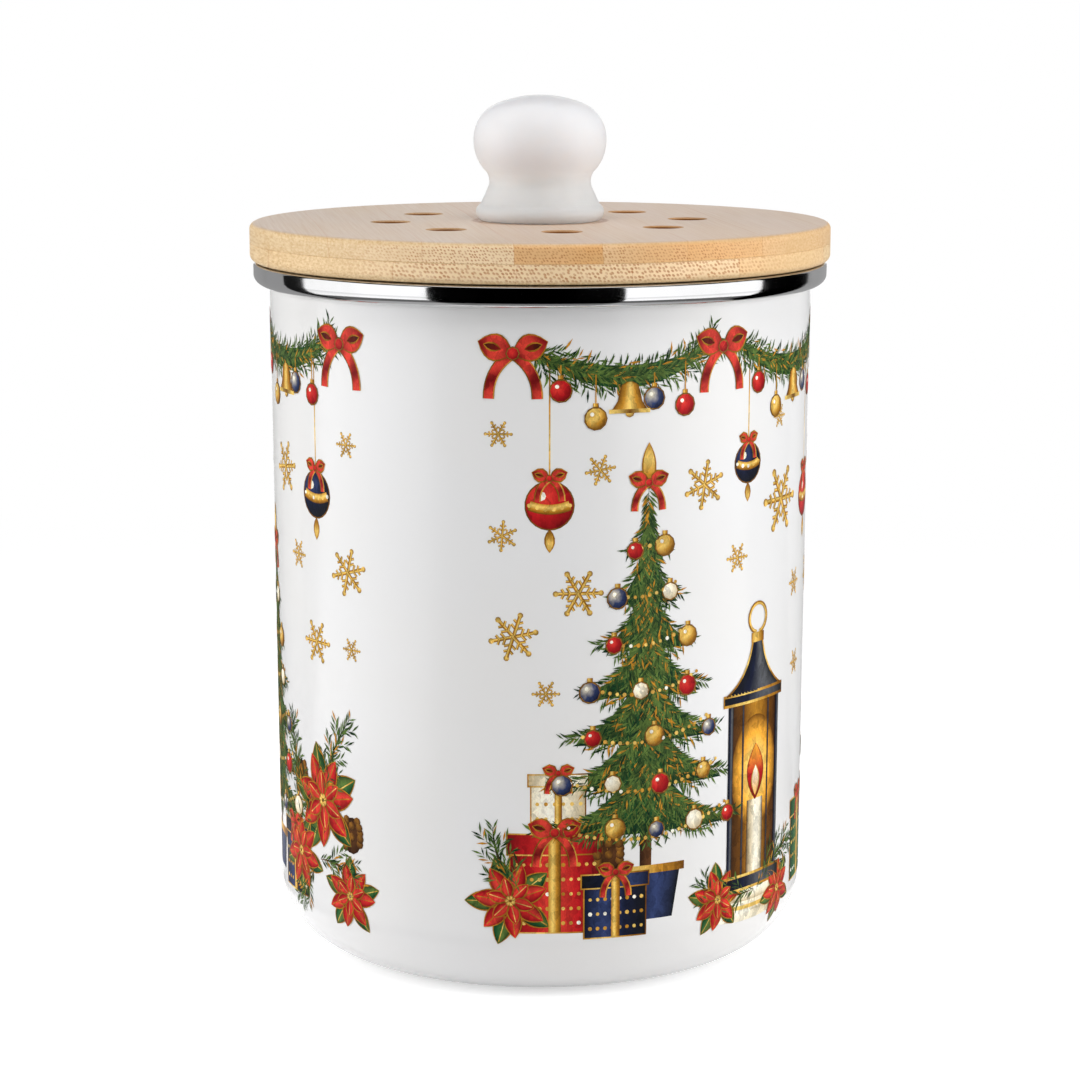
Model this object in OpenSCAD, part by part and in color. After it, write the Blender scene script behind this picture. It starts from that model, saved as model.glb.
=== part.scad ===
// Kitchen compost caddy: enamelled steel canister with a rolled, banded rim, and a lift-off
// bamboo lid that carries a turned knob, eight vents, a finned seal and a twist-out charcoal filter.
// Millimetres. +Z is up and the origin is the middle of the underside.

/* [Canister] */
// Height of the canister, to the top of its rim band
canister_h = 202.5; // [150:0.5:260]
// Outer radius of the wall just under the rim
wall_r = 79; // [76:0.5:100]
// How much smaller the wall's radius is at the base than at the rim
wall_draft = 1.3; // [0:0.1:4]
// Thickness of the enamelled sheet
wall_t = 1; // [0.8:0.1:1.4]
// Outer radius of the rounded corner round the base
base_corner_r = 22; // [10:0.5:26]
// Inner radius of the ring that the canister stands on
stand_r = 47; // [35:0.5:49]
// How far the middle of the base is pushed up
base_rise = 1.6; // [0.8:0.1:4]
// Width of the slope between the standing ring and the raised middle
base_slope_w = 5; // [2:0.5:10]

/* [Rolled rim and band] */
// Outside radius of the roll that the sheet's top edge is curled into
curl_r = 2.5; // [2:0.1:3.5]
// Angle that the edge is rolled through
curl_sweep = 250; // [180:5:255]
// Thickness of the polished band
band_t = 0.6; // [0.4:0.05:0.8]
// Clearance between the band and the rolled edge that it wraps
band_fit = 0.1; // [0.05:0.01:0.2]
// Radius of the band's inner top corner
band_in_r = 1.4; // [1:0.1:2]
// Radius of the band's outer top corner
band_out_r = 0.9; // [0.8:0.05:1.4]
// Height of the band's leg down the inside of the mouth
band_leg_h = 9; // [6:0.5:14]

/* [Lid boards] */
// Thickness of the upper bamboo board
top_board_t = 5.6; // [4:0.1:10]
// Thickness of the lower bamboo board
lower_board_t = 5.6; // [4:0.1:10]
// How far the lid stands out past the rim band
lid_overhang = 0.9; // [0:0.1:6]
// Rounding of the lid's top edge
top_edge_r = 1.8; // [0.5:0.1:3.5]
// Rounding of the lid's bottom edge
bottom_edge_r = 2.2; // [0.5:0.1:3.5]
// Gap between the lid and the rim band that it rests on
seat_gap = 0.3; // [0.2:0.05:1]
// How far the lid is turned in the mouth, in degrees
lid_turn = 8; // [-180:1:180]
// Thickness of the plug that drops into the mouth
plug_t = 8; // [7:0.5:14]
// Gap all round between the plug and the mouth
plug_gap = 2.3; // [1:0.1:4]
// Bevel round the bottom of the plug
plug_bevel = 0.8; // [0.2:0.1:1.2]

/* [Vents] */
// Number of vent holes
vent_count = 8; // [4:1:12]
// Diameter of a vent hole
vent_d = 11; // [6:0.5:13]
// Radius of the circle that the vents lie on
vent_circle_r = 43.8; // [34:0.2:45]
// Bevel at the mouth of each vent
vent_bevel = 0.4; // [0.1:0.1:1]

/* [Seal] */
// Height of the groove in the plug that holds the seal
groove_h = 4.4; // [3:0.1:5.4]
// Depth of that groove
groove_depth = 2.6; // [1.5:0.1:3.4]
// Clearance of the seal in its groove
groove_fit = 0.05; // [0.02:0.01:0.1]
// Number of fins on the seal
fin_count = 3; // [2:1:4]
// Thickness of a fin at its root
fin_t = 1; // [0.6:0.1:1]
// How far the fins droop from root to tip
fin_droop = 0.5; // [0:0.1:0.6]
// Gap between the fin tips and the mouth
seal_gap = 0.3; // [0.3:0.05:0.8]

/* [Knob] */
// Height of the knob above the lid
knob_h = 36.4; // [35.2:0.2:42]
// Radius of the ball at its widest
ball_r = 19.35; // [17.5:0.05:22]
// Height of the widest part of the ball above the lid
ball_z = 23.8; // [22.5:0.1:25]
// Radius of the curve over the shoulder of the ball
shoulder_r = 11; // [9:0.5:12]
// Radius of the curve under the ball
under_r = 12.5; // [12:0.5:14]
// How far the centre of the curve under the ball lies below the widest part
under_drop = 0.7; // [0:0.1:1.5]
// Radius of the waist
neck_r = 14.8; // [13.5:0.05:16]
// Radius of the hollow curve round the waist
neck_fillet_r = 4.5; // [3:0.5:5]
// Radius of the foot at its widest
foot_r = 18.7; // [17.5:0.1:22]
// Radius of the bead round the edge of the foot
bead_r = 2.6; // [2:0.1:3]
// Angle above the level at which the bead ends
bead_a = 55; // [40:5:65]
// Radius of the hollow between the bead and the flank
hollow_r = 1; // [0.5:0.1:1.5]

/* [Knob fixing] */
// Diameter of the screw that holds the knob
screw_d = 4; // [3:0.5:5]
// Clearance all round the screw in the lid
screw_clearance = 0.25; // [0.1:0.05:0.5]
// Clearance all round the thread and the insert
thread_fit = 0.05; // [0.02:0.01:0.1]
// Diameter of the screw's head
head_d = 8; // [7:0.5:9]
// Height of the screw's head
head_h = 2.4; // [2:0.1:2.8]
// Width of a stroke of the driving cross in a screw head
cross_w = 1; // [0.6:0.1:1.2]
// Depth of that cross
cross_depth = 1.2; // [0.6:0.1:1.3]
// Diameter of the washer
washer_d = 12; // [10:0.5:14]
// Thickness of the washer
washer_t = 1; // [0.5:0.1:1.2]
// Depth of the recess in the plug for the washer and the head
recess_depth = 4; // [3.8:0.1:5]
// Clearance all round the washer in its recess
recess_clearance = 1; // [0.5:0.1:2]
// Diameter of the threaded insert in the knob
insert_d = 7; // [6.5:0.1:9]
// Length of that insert
insert_l = 12; // [9:0.5:14]
// Length of screw that is in the insert
thread_engaged = 8.8; // [6:0.2:10]
// Depth of the hole in the knob beyond the insert
blind_depth = 1.5; // [0.5:0.5:3]

/* [Filter and its holder] */
// Thickness of the charcoal filter pad
filter_t = 5; // [3:0.5:5.5]
// How far the filter reaches past the outside of the vents
filter_margin = 1.4; // [1:0.1:2]
// Clearance all round the filter in its cover
filter_clearance = 0.3; // [0.2:0.1:1]
// Thickness of the cover's rim
cover_rim_t = 1.6; // [1.2:0.1:2]
// Thickness of the cover's grille and of the holder's flange
plate_t = 2; // [1.5:0.1:2.5]
// Running gap between the cover and the holder
twist_gap = 0.4; // [0.3:0.05:0.6]
// How far the bayonet ledges reach in from the holder's skirt
ledge_w = 3; // [2.4:0.1:4]
// Thickness of the holder's skirt
skirt_t = 2; // [1.5:0.1:2.5]
// Height of the holder's skirt below the plug
skirt_h = 9.5; // [9.2:0.1:14]
// How far the holder's flange reaches past its skirt
flange_w = 9.5; // [8.5:0.1:10]
// Number of bayonet lugs
lug_count = 3; // [3:1:4]
// Angle that a ledge spans
ledge_angle = 46; // [36:1:48]
// Angle that a lug spans
lug_angle = 26; // [16:1:28]
// Angle that the stop at the end of a ledge spans
stop_angle = 3; // [2:1:5]
// Angle that the ledge runs on past its stop
stop_inset = 1; // [0.5:0.5:3]
// How far a stop is set back from the edge of its ledge
stop_lip = 0.3; // [0.1:0.1:1]
// Angle between a lug and its stop when the cover is locked
stop_play = 1; // [1:0.5:3]
// How far the cover's rim and the stops stand above the lugs
rim_over = 0.5; // [0.2:0.1:1]

/* [Grille and grip] */
// Width of the grille's slots
slot_w = 3.6; // [2:0.1:4]
// Width of the ribs between two rings of slots
ring_rib_w = 3.4; // [2.4:0.1:5]
// Width of the ribs that cross the rings
spoke_w = 4; // [3:0.5:6]
// Number of slots in each ring
slots_per_ring = 6; // [4:1:8]
// Number of rings of slots
ring_count = 4; // [2:1:4]
// Plain margin between the outermost slots and the cover's rim
grille_margin = 2.5; // [2:0.1:6]
// Length of the finger grip
grip_l = 30; // [20:1:34]
// Thickness of the finger grip
grip_t = 4; // [3:0.5:6]
// How far the finger grip stands below the grille
grip_h = 6; // [4:0.5:10]

/* [Holder screws] */
// Number of screws in the holder's flange
holder_screw_count = 4; // [3:1:6]
// Diameter of their shanks
holder_screw_d = 2.8; // [2:0.1:3.2]
// Their length under the head
holder_screw_l = 7; // [5:0.5:7.5]
// Diameter of their countersunk heads
holder_head_d = 5.4; // [4.6:0.1:6]
// Height of those heads
holder_head_h = 1.5; // [1:0.1:1.5]

/* [Hidden] */

// Facets of large rings, of small rings and steps along a quarter of an arc
ring_fn = 180;
small_fn = 48;
arc_steps = 12;
// Overshoot of a cut past the face that it opens
cut = 1;
// Points closer than this are one point
same = 0.0001;

// Radii of the canister and its rim
base_r = wall_r - wall_draft;
curl_centre_r = wall_r + curl_r - wall_t;
roll_r = curl_r + band_fit + band_t;
band_r = curl_centre_r + roll_r;
mouth_r = wall_r - wall_t - band_fit - band_t;
curl_z = canister_h - roll_r;
// Angle under the rolled edge at which the band meets the wall
tuck_angle = asin((curl_centre_r - wall_r - band_fit) / roll_r);
// Slant of the wall
draft_angle = atan(wall_draft / (curl_z - base_corner_r));

// Heights and radii of the lid
lid_r = band_r + lid_overhang;
lid_z = canister_h + seat_gap;
glue_z = lid_z + lower_board_t;
lid_top_z = glue_z + top_board_t;
plug_z = lid_z - plug_t;
plug_r = mouth_r - plug_gap;
groove_z = plug_z + (plug_t - groove_h) / 2;
groove_r = plug_r - groove_depth;
fin_r = mouth_r - seal_gap;

// Radii and heights of the filter, its cover and its holder
vent_r = vent_d / 2;
filter_r = vent_circle_r + vent_r + filter_margin;
cover_in_r = filter_r + filter_clearance;
cover_r = cover_in_r + cover_rim_t;
ledge_r = cover_r + twist_gap;
skirt_in_r = ledge_r + ledge_w;
skirt_r = skirt_in_r + skirt_t;
flange_r = skirt_r + flange_w;
holder_screw_circle_r = skirt_r + flange_w / 2;
lug_r = skirt_in_r - twist_gap;
skirt_z = plug_z - skirt_h;
grille_top_z = skirt_z + plate_t;
lug_z = grille_top_z + twist_gap;
// Angle from the middle of a ledge to the middle of its locked lug
lug_rest_angle = (ledge_angle - lug_angle) / 2 - stop_inset - stop_angle - stop_play;

// Heights on the knob's screw
recess_top_z = plug_z + recess_depth;
head_z = recess_top_z - washer_t;
screw_end_z = lid_top_z + thread_engaged;

// Points of an arc round [x, z], from angle a to angle b
function arc(x, z, r, a, b) =
    let (steps = max(2, ceil(abs(b - a) / 90 * arc_steps)))
    [for (i = [0:steps]) let (t = a + (b - a) * i / steps) [x + r * cos(t), z + r * sin(t)]];

// Angle of the middle of a bayonet ledge
function ledge_middle(i) = (i + 0.5) * 360 / lug_count;

// A solid of revolution from its half outline, in which arcs may share an end
module turned(points) {
    rotate_extrude($fn = ring_fn)
        polygon([for (i = [0:len(points) - 1])
            if (i == 0 || norm(points[i] - points[i - 1]) > same) points[i]]);
}

// A flat ring between two radii, from height z up
module ring(z, outer_r, inner_r, h) {
    translate([0, 0, z])
        difference() {
            cylinder(r = outer_r, h = h, $fn = ring_fn);
            translate([0, 0, -cut])
                cylinder(r = inner_r, h = h + 2 * cut, $fn = ring_fn);
        }
}

// A piece of a flat ring that spans an angle on both sides of middle
module ring_piece(z, outer_r, inner_r, h, middle, span) {
    translate([0, 0, z])
        rotate([0, 0, middle - span / 2])
            rotate_extrude(angle = span, $fn = ring_fn)
                translate([inner_r, 0])
                    square([outer_r - inner_r, h]);
}

// Everything on the lid is turned with it
module on_lid() {
    rotate([0, 0, lid_turn])
        children();
}

// One child at each vent
module at_vents() {
    for (i = [0:vent_count - 1])
        rotate([0, 0, i * 360 / vent_count])
            translate([vent_circle_r, 0, 0])
                children();
}

// One child at each screw of the holder, midway between two vents
module at_holder_screws() {
    for (i = [0:holder_screw_count - 1])
        rotate([0, 0, (i + 0.5) * 360 / holder_screw_count])
            translate([holder_screw_circle_r, 0, 0])
                children();
}

// Cuts for the vents and the knob's screw through a board between two heights
module board_holes(z, h) {
    translate([0, 0, z - cut]) {
        at_vents()
            cylinder(r = vent_r, h = h + 2 * cut, $fn = small_fn);
        cylinder(r = screw_d / 2 + screw_clearance, h = h + 2 * cut, $fn = small_fn);
    }
}

// Drawn and enamelled steel can: stepped base, round corner, slightly drafted wall, rolled edge
module body_shell() {
    corner_x = base_r - base_corner_r;
    inner_corner_r = base_corner_r - wall_t;
    roll_end = 180 - curl_sweep;
    color("white")
        turned(concat(
            [[0, base_rise], [stand_r - base_slope_w, base_rise], [stand_r, 0]],
            arc(corner_x, base_corner_r, base_corner_r, -90, -draft_angle),
            arc(curl_centre_r, curl_z, curl_r - wall_t, 180, roll_end),
            arc(curl_centre_r, curl_z, curl_r, roll_end, 180),
            arc(corner_x, base_corner_r, inner_corner_r, -draft_angle, -90),
            [[stand_r, wall_t], [stand_r - base_slope_w, base_rise + wall_t],
             [0, base_rise + wall_t]]));
}

// Polished band: a leg in the mouth, a flat top, a plain face, and a lip tucked under the roll
module rim_band() {
    in_x = mouth_r + band_in_r;
    in_z = canister_h - band_in_r;
    out_x = band_r - band_out_r;
    out_z = canister_h - band_out_r;
    leg_z = canister_h - band_leg_h;
    // The leg slants with the wall
    leg_r = mouth_r - (curl_z - leg_z) * tan(draft_angle);
    lip_end = -90 - tuck_angle;
    color("silver")
        turned(concat(
            [[leg_r, leg_z], [mouth_r, curl_z]],
            arc(in_x, in_z, band_in_r, 180, 90),
            arc(out_x, out_z, band_out_r, 90, 0),
            arc(curl_centre_r, curl_z, roll_r, 0, lip_end),
            arc(curl_centre_r, curl_z, roll_r - band_t, lip_end, 0),
            arc(out_x, out_z, band_out_r - band_t, 0, 90),
            arc(in_x, in_z, band_in_r - band_t, 90, 180),
            [[mouth_r + band_t, curl_z], [leg_r + band_t, leg_z]]));
}

// Upper bamboo board, with a rounded top edge and bevelled vents
module lid_top_board() {
    color("burlywood")
        on_lid()
            difference() {
                turned(concat(
                    [[0, glue_z], [lid_r, glue_z]],
                    arc(lid_r - top_edge_r, lid_top_z - top_edge_r, top_edge_r, 0, 90),
                    [[0, lid_top_z]]));
                board_holes(glue_z, top_board_t);
                translate([0, 0, lid_top_z - vent_bevel])
                    at_vents()
                        cylinder(r1 = vent_r, r2 = vent_r + 2 * vent_bevel, h = 2 * vent_bevel,
                                 $fn = small_fn);
            }
}

// Lower bamboo board, with a rounded bottom edge
module lid_lower_board() {
    color("tan")
        on_lid()
            difference() {
                turned(concat(
                    [[0, lid_z]],
                    arc(lid_r - bottom_edge_r, lid_z + bottom_edge_r, bottom_edge_r, -90, 0),
                    [[lid_r, glue_z], [0, glue_z]]));
                board_holes(lid_z, lower_board_t);
            }
}

// Bamboo plug under the lid, grooved for the seal and recessed for the knob's screw
module lid_plug() {
    color("wheat")
        on_lid()
            difference() {
                turned([[0, plug_z], [plug_r - plug_bevel, plug_z], [plug_r, plug_z + plug_bevel],
                        [plug_r, groove_z], [groove_r, groove_z],
                        [groove_r, groove_z + groove_h], [plug_r, groove_z + groove_h],
                        [plug_r, lid_z], [0, lid_z]]);
                board_holes(plug_z, plug_t);
                translate([0, 0, plug_z - cut])
                    cylinder(r = washer_d / 2 + recess_clearance, h = recess_depth + cut,
                             $fn = small_fn);
                translate([0, 0, plug_z - cut])
                    at_holder_screws()
                        cylinder(r = holder_screw_d / 2 + thread_fit,
                                 h = holder_screw_l - plate_t + 2 * cut, $fn = small_fn);
            }
}

// Silicone seal: a band that fills the groove, with drooping fins that wipe the mouth
module seal_ring() {
    low = groove_z + groove_fit;
    high = groove_z + groove_h - groove_fit;
    pitch = (high - low) / fin_count;
    root_r = plug_r - groove_fit;
    color("gainsboro")
        turned(concat(
            [[groove_r + groove_fit, low]],
            [for (i = [0:fin_count - 1]) let (z = low + (i + 0.5) * pitch)
                each [[root_r, z - fin_t / 2], [fin_r, z - fin_droop], [root_r, z + fin_t / 2]]],
            [[root_r, high], [groove_r + groove_fit, high]]));
}

// Half outline of the knob above the lid: beaded foot, flank, waist, ball and flattened crown, all tangent
module knob() {
    bead_x = foot_r - bead_r;
    hollow_x = bead_x + (bead_r + hollow_r) * cos(bead_a);
    hollow_z = bead_r + (bead_r + hollow_r) * sin(bead_a);
    under_x = ball_r - under_r;
    under_z = ball_z - under_drop;
    neck_x = neck_r + neck_fillet_r;
    // The waist touches the curve under the ball
    neck_z = under_z - sqrt(pow(under_r + neck_fillet_r, 2) - pow(neck_x - under_x, 2));
    under_a = atan2(neck_z - under_z, neck_x - under_x);
    // A straight flank touches both the hollow over the bead and the waist
    flank = [neck_x - hollow_x, neck_z - hollow_z];
    flank_a = 180 + atan2(flank[1], flank[0]) - acos((neck_fillet_r - hollow_r) / norm(flank));
    // The crown's centre lies on the axis, and its curve touches the shoulder
    shoulder_x = ball_r - shoulder_r;
    rise = knob_h - ball_z;
    crown_r = (pow(shoulder_x, 2) + pow(rise, 2) - pow(shoulder_r, 2)) / (2 * (rise - shoulder_r));
    crown_z = knob_h - crown_r;
    crown_a = atan2(ball_z - crown_z, shoulder_x);
    hole_r = insert_d / 2 + thread_fit;
    hole_z = insert_l + blind_depth;
    color("white")
        translate([0, 0, lid_top_z])
            turned(concat(
                [[hole_r, 0]],
                arc(bead_x, bead_r, bead_r, -90, bead_a),
                arc(hollow_x, hollow_z, hollow_r, 180 + bead_a, flank_a),
                arc(neck_x, neck_z, neck_fillet_r, flank_a, 180 + under_a),
                arc(under_x, under_z, under_r, under_a, 0),
                arc(shoulder_x, ball_z, shoulder_r, 0, crown_a),
                arc(0, crown_z, crown_r, crown_a, 90),
                [[0, hole_z], [hole_r, hole_z]]));
}

// Threaded brass insert in the foot of the knob, with two plain lands and a waist between them
module knob_insert() {
    outer_r = insert_d / 2;
    bore_r = screw_d / 2 + thread_fit;
    waist_r = (outer_r + bore_r) / 2 + thread_fit;
    land_h = insert_l / 3;
    color("goldenrod")
        translate([0, 0, lid_top_z])
            turned([[bore_r, 0], [outer_r, 0], [outer_r, land_h], [waist_r, land_h],
                    [waist_r, insert_l - land_h], [outer_r, insert_l - land_h],
                    [outer_r, insert_l], [bore_r, insert_l]]);
}

// A cross cut up into a head from its lower face, which lies at height 0
module driving_cross(reach) {
    for (a = [0, 90])
        rotate([0, 0, a])
            translate([-reach / 2, -cross_w / 2, -cut])
                cube([reach, cross_w, cross_depth + cut]);
}

// Machine screw that comes up through the lid into the knob
module knob_screw() {
    head_r = head_d / 2;
    color("silver")
        on_lid()
            difference() {
                union() {
                    translate([0, 0, head_z])
                        cylinder(r = screw_d / 2, h = screw_end_z - head_z, $fn = small_fn);
                    turned(concat(
                        [[0, head_z - head_h]],
                        arc(head_r - head_h / 2, head_z - head_h / 2, head_h / 2, -90, 0),
                        [[head_r, head_z], [0, head_z]]));
                }
                translate([0, 0, head_z - head_h])
                    driving_cross(head_r);
            }
}

// Flat washer under the head of the knob's screw
module knob_washer() {
    color("silver")
        ring(head_z, washer_d / 2, screw_d / 2 + screw_clearance, washer_t);
}

// Moulded ring under the plug: screwed flange, skirt, and bayonet ledges with their stops
module filter_holder() {
    flange_z = plug_z - plate_t;
    stop_top_z = lug_z + plate_t + rim_over;
    color("dimgray")
        on_lid()
            difference() {
                union() {
                    translate([0, 0, skirt_z])
                        cylinder(r = skirt_r, h = skirt_h, $fn = ring_fn);
                    translate([0, 0, flange_z])
                        cylinder(r = flange_r, h = plate_t, $fn = ring_fn);
                }
                // Way in for the cover and its lugs, between the ledges
                translate([0, 0, skirt_z - cut])
                    linear_extrude(plate_t + 2 * cut)
                        difference() {
                            circle(r = skirt_in_r, $fn = ring_fn);
                            difference() {
                                ledge_sectors(0, ledge_angle);
                                circle(r = ledge_r, $fn = ring_fn);
                            }
                        }
                // Track of the lugs above the ledges, closed by the stops
                translate([0, 0, grille_top_z])
                    linear_extrude(stop_top_z - grille_top_z + cut)
                        difference() {
                            circle(r = skirt_in_r, $fn = ring_fn);
                            difference() {
                                ledge_sectors((ledge_angle - stop_angle) / 2 - stop_inset, stop_angle);
                                circle(r = ledge_r + stop_lip, $fn = ring_fn);
                            }
                        }
                translate([0, 0, stop_top_z])
                    cylinder(r = skirt_in_r, h = plug_z - stop_top_z + cut, $fn = ring_fn);
                translate([0, 0, flange_z])
                    at_holder_screws() {
                        cylinder(r = holder_screw_d / 2 + screw_clearance, h = plate_t + cut,
                                 $fn = small_fn);
                        holder_head(screw_clearance);
                        translate([0, 0, -cut])
                            cylinder(r = holder_head_d / 2 + screw_clearance, h = cut,
                                     $fn = small_fn);
                    }
            }
}

// Flat sectors from the axis past the skirt, one at each ledge, turned from its middle by an angle
module ledge_sectors(turn, span) {
    reach = skirt_r / cos(span / 2);
    for (i = [0:lug_count - 1])
        rotate(ledge_middle(i) + turn)
            polygon([[0, 0], reach * [cos(span / 2), -sin(span / 2)],
                     reach * [cos(span / 2), sin(span / 2)]]);
}

// Countersunk head with its wide face down at height 0, grown all round by a clearance
module holder_head(grow) {
    cylinder(r1 = holder_head_d / 2 + grow, r2 = holder_screw_d / 2 + grow, h = holder_head_h,
             $fn = small_fn);
}

// Countersunk wood screws that hold the flange to the plug
module holder_screws() {
    tip_h = holder_screw_d;
    color("silver")
        on_lid()
            translate([0, 0, plug_z - plate_t])
                at_holder_screws()
                    difference() {
                        union() {
                            holder_head(0);
                            cylinder(r = holder_screw_d / 2, h = holder_screw_l - tip_h,
                                     $fn = small_fn);
                            translate([0, 0, holder_screw_l - tip_h])
                                cylinder(r1 = holder_screw_d / 2, r2 = 0.2, h = tip_h,
                                         $fn = small_fn);
                        }
                        driving_cross(holder_head_d / 2);
                    }
}

// Charcoal felt pad that lies on the grille
module carbon_filter() {
    color("#222222")
        translate([0, 0, grille_top_z])
            cylinder(r = filter_r, h = filter_t, $fn = ring_fn);
}

// One slot of the grille, bent along a ring, with round ends
module grille_slot(ring_r) {
    half_angle = 180 / slots_per_ring - asin((spoke_w + slot_w) / 2 / ring_r);
    ring_piece(-cut, ring_r + slot_w / 2, ring_r - slot_w / 2, plate_t + 2 * cut, 0, 2 * half_angle);
    for (side = [-1, 1])
        rotate([0, 0, side * half_angle])
            translate([ring_r, 0, -cut])
                cylinder(r = slot_w / 2, h = plate_t + 2 * cut, $fn = small_fn);
}

// Twist-out cover: grille of bent slots, low rim, bayonet lugs and a finger grip
module filter_cover() {
    outer_slot_r = cover_in_r - grille_margin - slot_w / 2;
    grip_end_r = grip_t / 2;
    rim_z = lug_z + plate_t + rim_over;
    color("dimgray")
        on_lid() {
            difference() {
                turned([[0, skirt_z], [cover_r, skirt_z], [cover_r, rim_z], [cover_in_r, rim_z],
                        [cover_in_r, grille_top_z], [0, grille_top_z]]);
                translate([0, 0, skirt_z])
                    for (i = [0:ring_count - 1], j = [0:slots_per_ring - 1])
                        rotate([0, 0, (j + (i % 2) / 2) * 360 / slots_per_ring])
                            grille_slot(outer_slot_r - i * (slot_w + ring_rib_w));
            }
            for (i = [0:lug_count - 1])
                ring_piece(lug_z, lug_r, cover_r - cover_rim_t / 2, plate_t,
                           ledge_middle(i) + lug_rest_angle, lug_angle);
            translate([0, 0, skirt_z - grip_h])
                linear_extrude(grip_h + plate_t / 2)
                    union() {
                        square([grip_l - grip_t, grip_t], center = true);
                        for (side = [-1, 1])
                            translate([side * (grip_l - grip_t) / 2, 0])
                                circle(r = grip_end_r, $fn = small_fn);
                    }
        }
}

body_shell();
rim_band();
lid_top_board();
lid_lower_board();
lid_plug();
seal_ring();
knob();
knob_insert();
knob_screw();
knob_washer();
filter_holder();
holder_screws();
carbon_filter();
filter_cover();
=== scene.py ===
"""Looks of a kitchen compost caddy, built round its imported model.

An enamelled canister with a polished rim band, a two-ply bamboo lid with vents and a white knob, the
filter unit under the lid, and a winter print fired on to the canister. The scene is in metres, +Z is
up, and the photograph looks along +Y. Sizes of the pieces are written in millimetres.
"""
import logging
import math
from collections.abc import Callable, Iterable, Sequence
from dataclasses import dataclass, field
from enum import Enum
from typing import Any

import bpy
import numpy as np
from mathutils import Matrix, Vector


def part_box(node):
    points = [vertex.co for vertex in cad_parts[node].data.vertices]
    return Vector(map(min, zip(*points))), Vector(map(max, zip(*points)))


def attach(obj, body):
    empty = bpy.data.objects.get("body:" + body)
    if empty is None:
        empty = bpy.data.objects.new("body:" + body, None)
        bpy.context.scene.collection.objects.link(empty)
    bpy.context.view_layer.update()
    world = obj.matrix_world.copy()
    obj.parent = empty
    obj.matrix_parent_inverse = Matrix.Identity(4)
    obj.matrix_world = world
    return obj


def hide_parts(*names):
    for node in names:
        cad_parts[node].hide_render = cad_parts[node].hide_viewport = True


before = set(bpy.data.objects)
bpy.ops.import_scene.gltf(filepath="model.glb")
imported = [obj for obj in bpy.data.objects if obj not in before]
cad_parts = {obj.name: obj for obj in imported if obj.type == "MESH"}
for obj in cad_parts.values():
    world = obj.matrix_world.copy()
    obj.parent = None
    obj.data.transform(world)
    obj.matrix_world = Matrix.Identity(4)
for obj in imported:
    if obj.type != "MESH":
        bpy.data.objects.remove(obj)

MM = 0.001
INK = "ink"
INK_STEP = 0.015
STEP_MM = 2.0
SHARP_DEG = 32.0
ON_AXIS = 1e-6
SAME_POINT = 1e-5
ROUND = 360
LOG = logging.getLogger("caddy")
Piece = bpy.types.Object
Material = bpy.types.Material
Point = tuple[float, float]
Colour = tuple[float, float, float]
Laid = tuple[np.ndarray, int]


# ---------------- node trees


class Wire:
    """An output socket of a node tree, with arithmetic that adds Math nodes."""

    def __init__(self, graph: "Graph", socket: bpy.types.NodeSocket) -> None:
        """Keeps the tree and the socket."""
        self.graph = graph
        self.socket = socket

    def math(self, operation: str, *others: Any, flip: bool = False) -> "Wire":
        """A Math node on this value.

        Args:
            operation: Blender's name of the operation.
            others: the further values or wires.
            flip: whether this value comes second.
        Returns:
            The result's wire.
        """
        values = [self, *others]
        if flip:
            values.reverse()
        return self.graph.node("ShaderNodeMath", dict(enumerate(values)), operation=operation)[0]

    def __add__(self, other: Any) -> "Wire":
        """Sum."""
        return self.math("ADD", other)

    def __sub__(self, other: Any) -> "Wire":
        """Difference."""
        return self.math("SUBTRACT", other)

    def __rsub__(self, other: Any) -> "Wire":
        """Difference, from the right."""
        return self.math("SUBTRACT", other, flip=True)

    def __mul__(self, other: Any) -> "Wire":
        """Product."""
        return self.math("MULTIPLY", other)

    def __truediv__(self, other: Any) -> "Wire":
        """Quotient."""
        return self.math("DIVIDE", other)

    def __pow__(self, other: Any) -> "Wire":
        """Power."""
        return self.math("POWER", other)

    __radd__ = __add__
    __rmul__ = __mul__

    def smooth(self, low: float, high: float, start: float = 0.0, end: float = 1.0) -> "Wire":
        """A smooth step from start to end as this value goes from low to high.

        Args:
            low, high: the ends of this value's range.
            start, end: the results there.
        Returns:
            The result's wire.
        """
        inputs = {"Value": self, "From Min": low, "From Max": high, "To Min": start, "To Max": end}
        made = self.graph.node("ShaderNodeMapRange", inputs, interpolation_type="SMOOTHSTEP")
        return made["Result"]


class Made:
    """A node that was just made, whose outputs are taken as wires."""

    def __init__(self, graph: "Graph", node: bpy.types.Node) -> None:
        """Keeps the tree and the node."""
        self.graph = graph
        self.node = node

    def __getitem__(self, key: str | int) -> Wire:
        """The output with that name or place, among the outputs that are switched on.

        Args:
            key: the output's name or place.
        Returns:
            Its wire.
        """
        if isinstance(key, int):
            shown = [s for s in self.node.outputs if s.enabled]
            return Wire(self.graph, shown[key])
        found = [s for s in self.node.outputs if s.enabled and s.name == key]
        return Wire(self.graph, found[0])


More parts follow.
